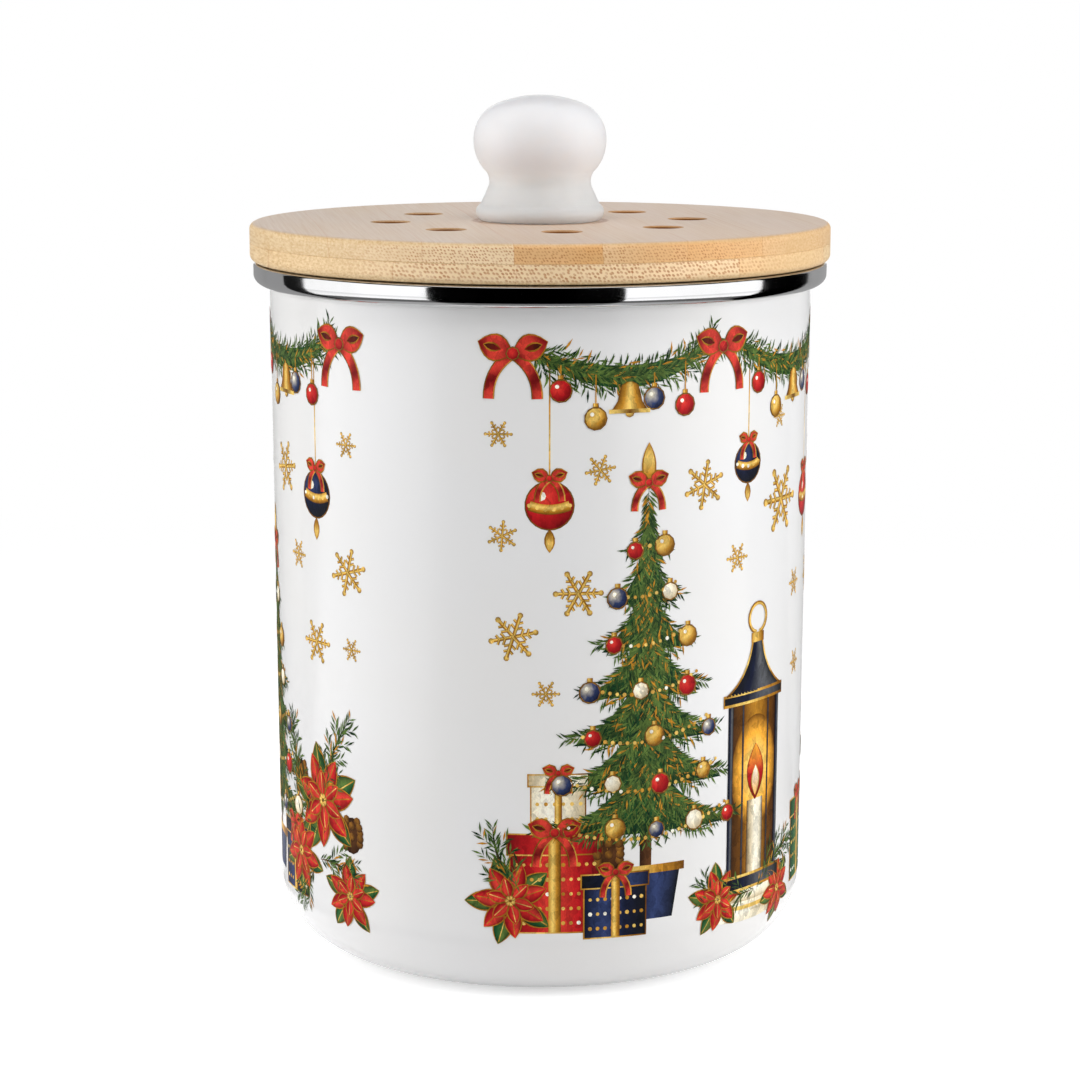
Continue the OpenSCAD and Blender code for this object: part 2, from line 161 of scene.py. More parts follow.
class Graph:
    """Builds a shader or geometry node tree."""

    def __init__(self, tree: bpy.types.NodeTree) -> None:
        """Takes an empty tree."""
        self.tree = tree

    def node(self, kind: str, inputs: dict[Any, Any] | None = None, **settings: Any) -> Made:
        """Adds a node.

        Args:
            kind: the node's type name.
            inputs: values or wires by the socket's name or place.
            settings: its properties.
        Returns:
            The node, with its outputs as wires.
        """
        made = self.tree.nodes.new(kind)
        for key, value in settings.items():
            setattr(made, key, value)
        for key, value in (inputs or {}).items():
            self._feed(made, key, value)
        return Made(self, made)

    def _feed(self, node: bpy.types.Node, key: str | int, value: Any) -> None:
        """Links a wire to an input, or writes a value there.

        Args:
            node: the node.
            key: the input's name or place.
            value: a wire or a value.
        """
        shown = [s for s in node.inputs if s.enabled]
        target = shown[key] if isinstance(key, int) else next(s for s in shown if s.name == key)
        if isinstance(value, Wire):
            self.tree.links.new(value.socket, target)
        else:
            write(target, value)

    def mix(self, factor: Any, a: Any, b: Any, blend: str = "MIX") -> Wire:
        """Mixes two colours.

        Args:
            factor: the share of the second colour.
            a, b: the colours.
            blend: Blender's name of the way to mix.
        Returns:
            The mixed colour's wire.
        """
        inputs = {"Factor": factor, "A": a, "B": b}
        return self.node("ShaderNodeMix", inputs, data_type="RGBA", blend_type=blend)["Result"]

    def scaled(self, vector: Wire, scale: Colour, shift: Any = (0, 0, 0)) -> Wire:
        """A vector multiplied by a scale, then shifted by a value or a wire."""
        inputs = {0: vector, 1: scale, 2: shift}
        return self.node("ShaderNodeVectorMath", inputs, operation="MULTIPLY_ADD")[0]

    def noise(self, vector: Wire, scale: float, detail: float = 2.0, rough: float = 0.5) -> Wire:
        """Noise from 0 to 1 at a vector."""
        inputs = {"Vector": vector, "Scale": scale, "Detail": detail, "Roughness": rough}
        return self.node("ShaderNodeTexNoise", inputs)[0]

    def rays(self, *kinds: str) -> Wire:
        """1 for rays of any of these kinds, such as Camera or Glossy.

        Args:
            kinds: Blender's names of the kinds.
        Returns:
            The mask's wire.
        """
        path = self.node("ShaderNodeLightPath")
        found = path[f"Is {kinds[0]} Ray"]
        for kind in kinds[1:]:
            found = found.math("MAXIMUM", path[f"Is {kind} Ray"])
        return found

    def end(self, kind: str, surface: Wire) -> None:
        """Ends a shader tree in an output node of that kind."""
        self.tree.links.new(surface.socket, self.node(kind).node.inputs["Surface"])

    def split(self, vector: Wire) -> tuple[Wire, Wire, Wire]:
        """The three parts of a vector."""
        made = self.node("ShaderNodeSeparateXYZ", {0: vector})
        return made[0], made[1], made[2]

    def join(self, x: Any, y: Any, z: Any) -> Wire:
        """A vector from three values."""
        return self.node("ShaderNodeCombineXYZ", {0: x, 1: y, 2: z})[0]


def write(socket: bpy.types.NodeSocket, value: Any) -> None:
    """Writes a value to an input; colours get their alpha."""
    socket.default_value = (*value[:3], 1.0) if socket.type == "RGBA" else value


def blank_material(name: str) -> tuple[Material, Graph]:
    """A material with an empty tree, and that tree's builder.

    Args:
        name: the material's name.
    Returns:
        The material and the builder.
    """
    material = bpy.data.materials.new(name)
    material.use_nodes = True
    material.node_tree.nodes.clear()
    return material, Graph(material.node_tree)


def srgb(red: int, green: int, blue: int) -> Colour:
    """The linear colour of an 8-bit screen colour.

    Args:
        red, green, blue: the parts, from 0 to 255.
    Returns:
        The three linear parts, from 0 to 1.
    """

    def linear(part: int) -> float:
        """The linear value of one part."""
        share = part / 255
        return share / 12.92 if share <= 0.04045 else ((share + 0.055) / 1.055) ** 2.4

    return linear(red), linear(green), linear(blue)


# ---------------- finishes


class Surface(Graph):
    """A material on one Principled shader, and the tree that feeds it."""

    def __init__(self, name: str, **constants: Any) -> None:
        """Makes the material.

        Args:
            name: the material's name.
            constants: the shader's sockets that are the same all over, with _ for a space.
        """
        self.material, graph = blank_material(name)
        super().__init__(graph.tree)
        principled = self.node("ShaderNodeBsdfPrincipled")
        self.shader = principled.node
        self.end("ShaderNodeOutputMaterial", principled[0])
        for key, value in constants.items():
            write(self.shader.inputs[key.replace("_", " ")], value)

    def feed(self, socket: str, wire: Wire) -> None:
        """Links a wire to the shader."""
        self.tree.links.new(wire.socket, self.shader.inputs[socket])

    def bump(self, height: Wire, distance_mm: float, strength: float = 1.0) -> None:
        """Raises the surface by a height from 0 to 1."""
        inputs = {"Height": height, "Distance": distance_mm * MM, "Strength": strength}
        self.feed("Normal", self.node("ShaderNodeBump", inputs)[0])

    def object_coords(self) -> Wire:
        """The point on the object, in millimetres."""
        coords = self.node("ShaderNodeTexCoord")["Object"]
        return self.scaled(coords, (1 / MM, 1 / MM, 1 / MM))


@dataclass(frozen=True)
class Enamel:
    """Fired white enamel: glossy, with a faint orange-peel wave and a slightly uneven tone."""

    white: Colour = (0.86, 0.86, 0.865)
    warmth: Colour = (1.0, 0.992, 0.975)
    wave_mm: float = 9.0
    wave_height_mm: float = 0.012

    def make(self, name: str) -> Material:
        """Makes the material.

        Args:
            name: the material's name.
        Returns:
            The material.
        """
        g = Surface(name, Coat_Weight=0.15, Coat_Roughness=0.12, Coat_IOR=1.4,
                    Specular_IOR_Level=0.35)
        point = g.object_coords()
        wave = g.noise(point, 1 / self.wave_mm, 3.0)
        peel = g.noise(point, 1.1, 2.0)
        g.bump(wave + peel * 0.06, self.wave_height_mm, 0.6)
        tone = g.noise(point, 0.02, 2.0).smooth(0.3, 0.7)
        warm = tuple(part * shade for part, shade in zip(self.white, self.warmth))
        g.feed("Base Color", g.mix(tone, self.white, warm))
        g.feed("Roughness", wave.smooth(0.3, 0.7, 0.16, 0.22))
        return g.material


@dataclass(frozen=True)
class PolishedSteel:
    """Mirror-polished stainless steel with fine polishing lines that run round it."""

    tint: Colour = (0.78, 0.78, 0.79)
    smudged: Colour = (0.70, 0.70, 0.70)
    lines_per_mm: float = 9.0

    def make(self, name: str) -> Material:
        """Makes the material.

        Args:
            name: the material's name.
        Returns:
            The material.
        """
        g = Surface(name, Metallic=1.0)
        point = g.object_coords()
        x, y, z = g.split(point)
        radius = (x * x + y * y) ** 0.5
        lines = g.noise(g.join(radius * self.lines_per_mm, z * self.lines_per_mm, 0.0), 1.0, 4.0, 0.6)
        smudge = g.noise(point, 0.06, 3.0)
        g.feed("Base Color", g.mix(smudge.smooth(0.35, 0.75), self.tint, self.smudged))
        g.feed("Roughness", smudge.smooth(0.3, 0.8, 0.045, 0.12) + lines * 0.03)
        g.bump(lines, 0.002, 0.35)
        return g.material


@dataclass(frozen=True)
class Bamboo:
    """Laminated bamboo: strips of long fibres that show as dots where they are cut across."""

    strip_mm: float = 23.6
    strip_shift_mm: float = 18.5
    dark_strip: int = 0
    dot_mm: float = 0.9
    dot_size: float = 0.3
    seed: float = 0.0
    turn_deg: float = 8.0
    east_tone: float = 0.75
    long_light: Colour = (0.82, 0.64, 0.40)
    long_dark: Colour = (0.62, 0.41, 0.19)
    end_light: Colour = (0.95, 0.74, 0.48)
    end_dark: Colour = (0.80, 0.45, 0.18)
    # Painted sheen: upward faces are mixed to this paler, greyer colour in place of the lacquer's
    # sheen under the top light.
    painted_top_sheen: Colour = (0.64, 0.53, 0.47)
    fibre: Colour = (0.50, 0.175, 0.04)
    # Painted shade: a dark orange for the vent holes' walls and for a ring where the knob's foot
    # stands, placed by the two radii below.
    painted_shade: Colour = (0.30, 0.105, 0.022)
    knob_foot_r: float = 19.0
    vents_within_r: float = 60.0

    def make(self, name: str) -> Material:
        """Makes the material.

        Args:
            name: the material's name.
        Returns:
            The material.
        """
        g = Surface(name, Coat_Weight=0.12, Coat_Roughness=0.35, Coat_IOR=1.4,
                    Specular_IOR_Level=0.35)
        x, y, z = g.split(self._unturned(g, g.object_coords()))
        facing = self._unturned(g, g.node("ShaderNodeTexCoord")["Normal"])
        _, along, upward = g.split(facing)
        endness = along.math("ABSOLUTE").smooth(0.62, 0.93)
        drift = g.noise(g.join(x * 0.02, y * 0.012, z * 0.1 + self.seed), 1.0, 2.0)
        x_warped = x + drift * 2.0 - 1.0
        strip = ((x_warped + self.strip_shift_mm) / self.strip_mm).math("FLOOR")
        chance = g.node("ShaderNodeTexWhiteNoise", {"W": strip * 1.37 + self.seed},
                        noise_dimensions="1D")
        darkest = strip.math("COMPARE", float(self.dark_strip), 0.1)
        tone = chance[0] * 0.25 + darkest * 0.62 + x.smooth(-10.0, 25.0, 0.0, self.east_tone)
        grain = g.noise(g.join(x * 1.5, y * 0.02, z * 1.5), 1.0, 4.0, 0.65)
        cloud = g.noise(g.join(x * 0.06, y * 0.01, z * 0.2 + self.seed), 1.0, 3.0)
        bundles, threads = self._fibres(g, x, y, z)
        seam = self._seams(x_warped)
        long_colour = g.mix(grain.smooth(0.3, 0.75), self.long_light, self.long_dark)
        long_colour = g.mix(tone * 0.5, long_colour, self.end_dark)
        end_colour = g.mix(tone, self.end_light, self.end_dark)
        base = g.mix(endness, long_colour, end_colour)
        # Painted sheen: the top faces are mixed towards a paler, greyer colour.
        base = g.mix(upward.smooth(0.7, 1.0) * 0.75, base, self.painted_top_sheen)
        base = g.mix(cloud.smooth(0.35, 0.7) * 0.22, base, self.long_dark)
        mark = bundles * (0.05 + endness * 0.75) + threads * (1 - endness) * 0.3
        base = g.mix(mark + seam * 0.35, base, self.fibre)
        # Painted shade: the vent holes' walls and a ring round the knob's foot are mixed towards the
        # dark orange.
        radius = (x * x + y * y) ** 0.5
        inside = 1 - radius.smooth(self.vents_within_r, self.vents_within_r + 2)
        drilled = (1 - upward.math("ABSOLUTE")).smooth(0.05, 0.5) * inside
        from_foot = (radius - self.knob_foot_r).math("ABSOLUTE")
        knob_contact_shade = (1 - from_foot.smooth(0.4, 1.4)) * upward.smooth(0.8, 0.95)
        base = g.mix(drilled * 0.95 + knob_contact_shade * 0.6, base, self.painted_shade)
        g.feed("Base Color", base)
        g.feed("Roughness", grain.smooth(0.2, 0.9, 0.36, 0.5) + bundles * 0.08)
        g.bump(grain * 0.3 + (1 - bundles) * 0.35 + (1 - seam) * 0.4, 0.04, 0.4)
        return g.material

    def _unturned(self, g: Graph, vector: Wire) -> Wire:
        """A vector in the board's own directions, with the fibres along y."""
        spin = {"Vector": vector, "Angle": -math.radians(self.turn_deg)}
        return g.node("ShaderNodeVectorRotate", spin, rotation_type="Z_AXIS")[0]

    def _fibres(self, g: Graph, x: Wire, y: Wire, z: Wire) -> tuple[Wire, Wire]:
        """Bundles of fibres, as dots across and streaks along, and finer threads between them.

        Args:
            g: the material's tree.
            x, y, z: the point in the board's own directions, in millimetres.
        Returns:
            The bundles and the finer threads, each from 0 to 1.
        """
        sway = g.noise(g.join(x * 0.1, y * 0.03, z * 0.1), 1.0, 1.0)
        across = (x + sway * 0.8 + z * 0.5) / self.dot_mm + self.seed
        spot = g.join(across, z / self.dot_mm, 0.0)
        cells = g.node("ShaderNodeTexVoronoi", {"Vector": spot, "Scale": 1.0, "Randomness": 0.5},
                       feature="F1", voronoi_dimensions="2D")
        strength = g.noise(g.join(x * 0.5, y * 0.02, z * 0.5), 1.0, 2.0).smooth(0.25, 0.7, 0.35, 1.0)
        bundles = (self.dot_size - cells["Distance"]).smooth(-0.1, 0.1) * strength
        threads = g.noise(g.join(x * 4.0, y * 0.02, z * 4.0), 1.0, 3.0, 0.7)
        return bundles, threads.smooth(0.5, 0.75)

    def _seams(self, x: Wire) -> Wire:
        """The thin glued joints between strips, from 0 to 1.

        Args:
            x: the place across the strips, in millimetres.
        Returns:
            The seams' wire.
        """
        share = ((x + self.strip_shift_mm) / self.strip_mm).math("FRACT")
        from_edge = (0.5 - (share - 0.5).math("ABSOLUTE")) * self.strip_mm
        return 1 - from_edge.smooth(0.03, 0.16)


@dataclass(frozen=True)
class Glaze:
    """White glaze over a turned form, softer than the enamel, with painted light on its foot:
    brighter and warmer there than on the ball.
    """

    white: Colour = (0.75, 0.75, 0.78)
    cloud: Colour = (0.82, 0.81, 0.81)
    # Painted light: the foot's colour is brighter and warmer than the ball's. It stands in for light
    # where the ball shades the foot from the top light.
    foot: Colour = (0.96, 0.955, 0.94)
    foot_z: float = 222.0
    ball_z: float = 232.0

    def make(self, name: str) -> Material:
        """Makes the material.

        Args:
            name: the material's name.
        Returns:
            The material.
        """
        g = Surface(name, Coat_Weight=0.35, Coat_Roughness=0.18, Coat_IOR=1.4,
                    Specular_IOR_Level=0.35, Subsurface_Weight=0.8,
                    Subsurface_Radius=(1.0, 0.9, 0.85), Subsurface_Scale=0.045)
        point = g.object_coords()
        height = g.split(point)[2]
        flow = g.noise(point, 0.09, 3.0)
        turning = g.noise(g.join(0.0, 0.0, height * 1.3), 1.0, 2.0)
        # Painted light: the colour is brighter and warmer below the ball than on it.
        base = g.mix(height.smooth(self.foot_z, self.ball_z), self.foot, self.white)
        g.feed("Base Color", g.mix(flow.smooth(0.3, 0.7) * 0.3, base, self.cloud))
        g.feed("Roughness", flow.smooth(0.3, 0.7, 0.42, 0.52))
        g.bump(flow + turning * 0.12, 0.05, 0.35)
        return g.material


@dataclass(frozen=True)
class Moulded:
    """Moulded plastic or rubber with a fine sparked texture."""

    colour: Colour = (0.045, 0.045, 0.047)
    pale: Colour = (0.075, 0.075, 0.078)
    roughness: float = 0.48
    grain_mm: float = 0.35

    def make(self, name: str) -> Material:
        """Makes the material.

        Args:
            name: the material's name.
        Returns:
            The material.
        """
        g = Surface(name, Specular_IOR_Level=0.45)
        point = g.object_coords()
        grain = g.noise(point, 1 / self.grain_mm, 2.0)
        wear = g.noise(point, 0.08, 4.0, 0.6)
        g.feed("Base Color", g.mix(wear.smooth(0.45, 0.8), self.colour, self.pale))
        g.feed("Roughness", wear.smooth(0.3, 0.8, self.roughness, self.roughness + 0.14))
        g.bump(grain, 0.03, 0.6)
        return g.material


@dataclass(frozen=True)
class Felt:
    """Needled charcoal felt: matt, speckled and hairy."""

    dark: Colour = (0.012, 0.012, 0.013)
    fleck: Colour = (0.06, 0.06, 0.062)

    def make(self, name: str) -> Material:
        """Makes the material.

        Args:
            name: the material's name.
        Returns:
            The material.
        """
        g = Surface(name, Specular_IOR_Level=0.15, Sheen_Weight=0.25, Sheen_Roughness=0.6)
        point = g.object_coords()
        hair = g.noise(g.scaled(point, (2.2, 0.7, 1.6)), 1.0, 6.0, 0.75)
        grit = g.node("ShaderNodeTexVoronoi", {"Vector": point, "Scale": 1.4})["Distance"]
        g.feed("Base Color", g.mix(hair.smooth(0.5, 0.78), self.dark, self.fleck))
        g.feed("Roughness", hair.smooth(0.3, 0.8, 0.85, 0.97))
        g.bump(hair + grit * 0.5, 0.5, 0.8)
        return g.material


@dataclass(frozen=True)
class Ink:
    """Fired printing ink: the piece's own colours, broken into the strokes of a palette knife."""

    stroke_mm: float = 1.5
    contrast: float = 0.8

    def make(self, name: str) -> Material:
        """Makes the material.

        Args:
            name: the material's name.
        Returns:
            The material.
        """
        g = Surface(name, Specular_IOR_Level=0.1)
        point = g.object_coords()
        ink = g.node("ShaderNodeAttribute", attribute_name=INK)["Color"]
        sway = g.node("ShaderNodeTexNoise", {"Vector": point, "Scale": 0.35})["Color"]
        swayed = g.scaled(sway, (3.0, 3.0, 3.0), point)
        squeezed = g.scaled(swayed, (1.0, 1.0, 0.55))
        knife = g.node("ShaderNodeTexVoronoi", {"Vector": squeezed, "Scale": 1 / self.stroke_mm})
        tone = g.split(knife["Color"])[0]
        streak = g.noise(g.scaled(swayed, (2.6, 2.6, 1.1)), 1.0, 3.0, 0.6)
        light = tone * self.contrast * 0.6 + streak * self.contrast + (1.0 - self.contrast * 0.8)
        shades = g.join(light, light, light * 0.96)
        g.feed("Base Color", g.mix(1.0, ink, shades, "MULTIPLY"))
        g.feed("Roughness", streak.smooth(0.3, 0.7, 0.34, 0.46))
        g.bump(streak + tone * 0.5, 0.06, 0.6)
        return g.material


@dataclass(frozen=True)
class TurnedMetal:
    """Machined metal with turning marks, such as a zinc-plated screw or a brass insert."""

    tint: Colour = (0.62, 0.62, 0.60)
    roughness: float = 0.3

    def make(self, name: str) -> Material:
        """Makes the material.

        Args:
            name: the material's name.
        Returns:
            The material.
        """
        g = Surface(name, Metallic=1.0)
        point = g.object_coords()
        x, y, z = g.split(point)
        radius = (x * x + y * y) ** 0.5
        marks = g.noise(g.join(radius * 6.0, z * 6.0, 0.0), 1.0, 3.0)
        dull = tuple(part * 0.8 for part in self.tint)
        g.feed("Base Color", g.mix(marks.smooth(0.3, 0.7), self.tint, dull))
        g.feed("Roughness", marks.smooth(0.2, 0.8, self.roughness, self.roughness + 0.12))
        g.bump(marks, 0.01, 0.5)
        return g.material


# ---------------- turned meshes


def arc(centre: Point, radius: float, start: float, end: float, steps: int = 12) -> list[Point]:
    """Points of an arc.

    Args:
        centre: radius and height of its centre.
        radius: its radius.
        start: first angle in degrees.
        end: last angle in degrees.
        steps: spans of the whole arc.
    Returns:
        The points, both ends included.
    """
    angles = np.radians(np.linspace(start, end, steps + 1))
    return [(centre[0] + radius * math.cos(a), centre[1] + radius * math.sin(a)) for a in angles]


def tidy_outline(points: Iterable[Point]) -> list[Point]:
    """The points without repeats.

    Args:
        points: the outline.
    Returns:
        The outline with each point once.
    """
    kept: list[Point] = []
    for point in points:
        if not kept or math.dist(point, kept[-1]) > SAME_POINT:
            kept.append(point)
    return kept


def turned(name: str, outline: Iterable[Point], segments: int = 288) -> Piece:
    """A closed solid of revolution.

    Args:
        name: the object's name.
        outline: radius and height in millimetres, anticlockwise with the radius to the right. It
            starts and ends on the axis, or it is a closed loop away from it.
        segments: how many steps go round.
    Returns:
        The object, smooth with sharp edges where the outline turns a corner.
    """
    points = tidy_outline(outline)
    closed_on_axis = points[0][0] < ON_AXIS
    angles = np.linspace(0.0, 2 * math.pi, segments, endpoint=False)
    verts: list[tuple[float, float, float]] = []
    rings: list[list[int]] = []
    for radius, height in points:
        first = len(verts)
        if radius < ON_AXIS:
            verts.append((0.0, 0.0, height * MM))
            rings.append([first] * segments)
            continue
        verts.extend((radius * math.cos(a) * MM, radius * math.sin(a) * MM, height * MM)
                     for a in angles)
        rings.append(list(range(first, first + segments)))
    pairs = list(zip(rings, rings[1:]))
    if not closed_on_axis:
        pairs.append((rings[-1], rings[0]))
    faces = []
    for low, high in pairs:
        for j in range(segments):
            after = (j + 1) % segments
            corners = [low[j], low[after], high[after], high[j]]
            faces.append(tuple(dict.fromkeys(corners)))
    return add_mesh(name, verts, faces)


def add_mesh(name: str, verts: Sequence[Any], faces: Sequence[Sequence[int]]) -> Piece:
    """An object from points in metres and faces.

    Args:
        name: the object's name.
        verts: its points, in metres.
        faces: the places of their corners, anticlockwise from outside.
    Returns:
        The object, in the scene.
    """
    mesh = bpy.data.meshes.new(name)
    mesh.from_pydata(verts, [], faces)
    mesh.validate()
    made = bpy.data.objects.new(name, mesh)
    bpy.context.scene.collection.objects.link(made)
    smooth(made)
    return made


def smooth(piece: Piece) -> None:
    """Shades a piece smooth, with sharp edges where it turns a corner."""
    piece.data.shade_smooth()
    piece.data.set_sharp_from_angle(angle=math.radians(SHARP_DEG))


def dress(piece: Piece, material: Material) -> None:
    """Gives a piece one material."""
    piece.data.materials.clear()
    piece.data.materials.append(material)


def place(piece: Piece, body: "Body", slot: str, *nodes: str) -> None:
    """Rides a piece on a body in place of CAD nodes, and reports it.

    Args:
        piece: the finished piece.
        body: the body that it moves with.
        slot: the record's material slot; it is not used.
        nodes: the CAD nodes that it stands for.
    """
    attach(piece, body.value)
    if nodes:
        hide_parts(*nodes)
    LOG.info("%s rides on %s, %d faces", piece.name, body.value, len(piece.data.polygons))


class Body(Enum):
    """The bodies that the new pieces ride on. The filter's parts keep the one that they have."""

    CANISTER = "canister"
    LID = "lid"


# ---------------- canister


@dataclass
class Canister:
    """The drawn can, its rolled edge and the band that wraps it. Sizes in millimetres."""

    wall_r: float = 79.0
    wall_draft: float = 1.3
    wall_t: float = 1.0
    corner_r: float = 22.0
    stand_r: float = 47.0
    base_rise: float = 1.6
    slope_w: float = 5.0
    curl_r: float = 2.5
    curl_sweep: float = 250.0
    band_t: float = 0.6
    band_fit: float = 0.1
    band_in_r: float = 1.4
    band_out_r: float = 0.9
    band_leg_h: float = 9.0
    arc_steps: int = 28
    wall_steps: int = 14
    top_z: float = field(init=False)

    def __post_init__(self) -> None:
        """Takes the height of the rim from the frame."""
        self.top_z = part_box("rim_band")[1].z / MM

    @property
    def roll_r(self) -> float:
        """Outer radius of the band round the rolled edge."""
        return self.curl_r + self.band_fit + self.band_t

    @property
    def curl(self) -> Point:
        """Radius and height of the rolled edge's centre."""
        return self.wall_r + self.curl_r - self.wall_t, self.top_z - self.roll_r

    @property
    def draft_deg(self) -> float:
        """Slant of the wall."""
        return math.degrees(math.atan(self.wall_draft / (self.curl[1] - self.corner_r)))

    def build(self) -> list[Piece]:
        """Makes the shell and the band."""
        return [self._shell(), self._band()]

    def _shell(self) -> Piece:
        """The enamelled sheet: stepped base, round corner, wall and rolled edge.

        Returns:
            The shell.
        """
        corner = (self.wall_r - self.wall_draft - self.corner_r, self.corner_r)
        roll_end = 180 - self.curl_sweep
        step_r = self.stand_r - self.slope_w
        wall, steps = np.linspace(0.0, 1.0, self.wall_steps), self.arc_steps
        low = arc(corner, self.corner_r, -90, -self.draft_deg, steps)
        low_in = arc(corner, self.corner_r - self.wall_t, -self.draft_deg, -90, steps)
        top, top_in = (self.wall_r, self.curl[1]), (self.wall_r - self.wall_t, self.curl[1])
        outline = [(0.0, self.base_rise), (step_r, self.base_rise)]
        outline += [(step_r + 1.2, self.base_rise - 0.15), (self.stand_r - 0.8, 0.12)]
        outline += [(self.stand_r, 0.0)] + low
        outline += [_between(low[-1], top, s) for s in wall]
        outline += arc(self.curl, self.curl_r - self.wall_t, 180, roll_end, steps)
        outline += arc(self.curl, self.curl_r, roll_end, 180, steps)
        outline += [_between(top_in, low_in[0], s) for s in wall]
        outline += low_in
        outline += [(self.stand_r, self.wall_t), (step_r, self.base_rise + self.wall_t)]
        outline += [(0.0, self.base_rise + self.wall_t)]
        return turned("enamel_shell", outline, ROUND)

    def _band(self) -> Piece:
        """The polished band.

        Returns:
            The band.
        """
        tuck = math.degrees(math.asin((self.curl[0] - self.wall_r - self.band_fit) / self.roll_r))
        mouth_r = self.wall_r - self.wall_t - self.band_fit - self.band_t
        band_r = self.curl[0] + self.roll_r
        leg_z = self.top_z - self.band_leg_h
        leg_r = mouth_r - (self.curl[1] - leg_z) * math.tan(math.radians(self.draft_deg))
        inner = (mouth_r + self.band_in_r, self.top_z - self.band_in_r)
        outer = (band_r - self.band_out_r, self.top_z - self.band_out_r)
        lip = -90 - tuck
        outline = arc(self.curl, self.roll_r, lip, 0, 20)
        outline += arc(outer, self.band_out_r, 0, 90, 8)
        outline += arc(inner, self.band_in_r, 90, 180, 8)
        outline += [(mouth_r, self.curl[1]), (leg_r, leg_z), (leg_r + self.band_t, leg_z)]
        outline += [(mouth_r + self.band_t, self.curl[1])]
        outline += arc(inner, self.band_in_r - self.band_t, 180, 90, 8)
        outline += arc(outer, self.band_out_r - self.band_t, 90, 0, 8)
        outline += arc(self.curl, self.roll_r - self.band_t, 0, lip, 20)
        return turned("polished_rim_band", outline, ROUND)

    def finish(self, pieces: list[Piece]) -> None:
        """Dresses the shell and the band and places them.

        Args:
            pieces: the shell and the band.
        """
        shell, band = pieces
        dress(shell, Enamel().make("white_enamel"))
        dress(band, PolishedSteel().make("polished_steel"))
        place(shell, Body.CANISTER, "enamel", "body_shell")
        place(band, Body.CANISTER, "band_steel", "rim_band")


def _between(a: Point, b: Point, share: float) -> Point:
    """The point at a share of the way from a to b."""
    return a[0] + (b[0] - a[0]) * share, a[1] + (b[1] - a[1]) * share


# ---------------- geometry node trees


class GeometryTree:
    """A geometry node tree with named inputs, and its use on an object."""

    def __init__(self, name: str, *inputs: tuple[str, str, Any]) -> None:
        """Makes an empty tree with a geometry input, the named inputs and a geometry output.

        Args:
            name: the tree's name.
            inputs: each input's name, kind and default.
        """
        self.tree = bpy.data.node_groups.new(name, "GeometryNodeTree")
        self.graph = Graph(self.tree)
        face = self.tree.interface
        face.new_socket("Geometry", in_out="INPUT", socket_type="NodeSocketGeometry")
        face.new_socket("Geometry", in_out="OUTPUT", socket_type="NodeSocketGeometry")
        for label, kind, default in inputs:
            item = face.new_socket(label, in_out="INPUT", socket_type=f"NodeSocket{kind}")
            item.default_value = default
        self.enter = self.graph.node("NodeGroupInput")

    def __getitem__(self, name: str) -> Wire:
        """The wire of a named input."""
        return self.enter[name]

    def close(self, geometry: Wire, material: Material) -> None:
        """Ends the tree in Realize Instances and Set Material.

        Args:
            geometry: what the tree has made.
            material: what it is made of.
        """
        g = self.graph
        real = g.node("GeometryNodeRealizeInstances", {0: geometry})[0]
        painted = g.node("GeometryNodeSetMaterial", {0: real, "Material": material})[0]
        leave = self.tree.nodes.new("NodeGroupOutput")
        self.tree.links.new(painted.socket, leave.inputs[0])

    def apply(self, piece: Piece, **values: Any) -> Piece:
        """Runs the tree on a piece and keeps the result as a plain mesh.

        Args:
            piece: the object whose mesh goes in.
            values: the named inputs, with _ for a space. A paint gives its colour.
        Returns:
            The same object with the new mesh and no modifier.
        """
        modifier = piece.modifiers.new(self.tree.name, "NODES")
        modifier.node_group = self.tree
        for item in self.tree.interface.items_tree:
            key = item.name.replace(" ", "_")
            if item.in_out == "INPUT" and key in values:
                value = values[key]
                modifier[item.identifier] = (*value.value, 1.0) if isinstance(value, Paint) else value
        bpy.context.view_layer.update()
        evaluated = piece.evaluated_get(bpy.context.evaluated_depsgraph_get())
        mesh = bpy.data.meshes.new_from_object(evaluated)
        piece.modifiers.clear()
        piece.data = mesh
        return piece


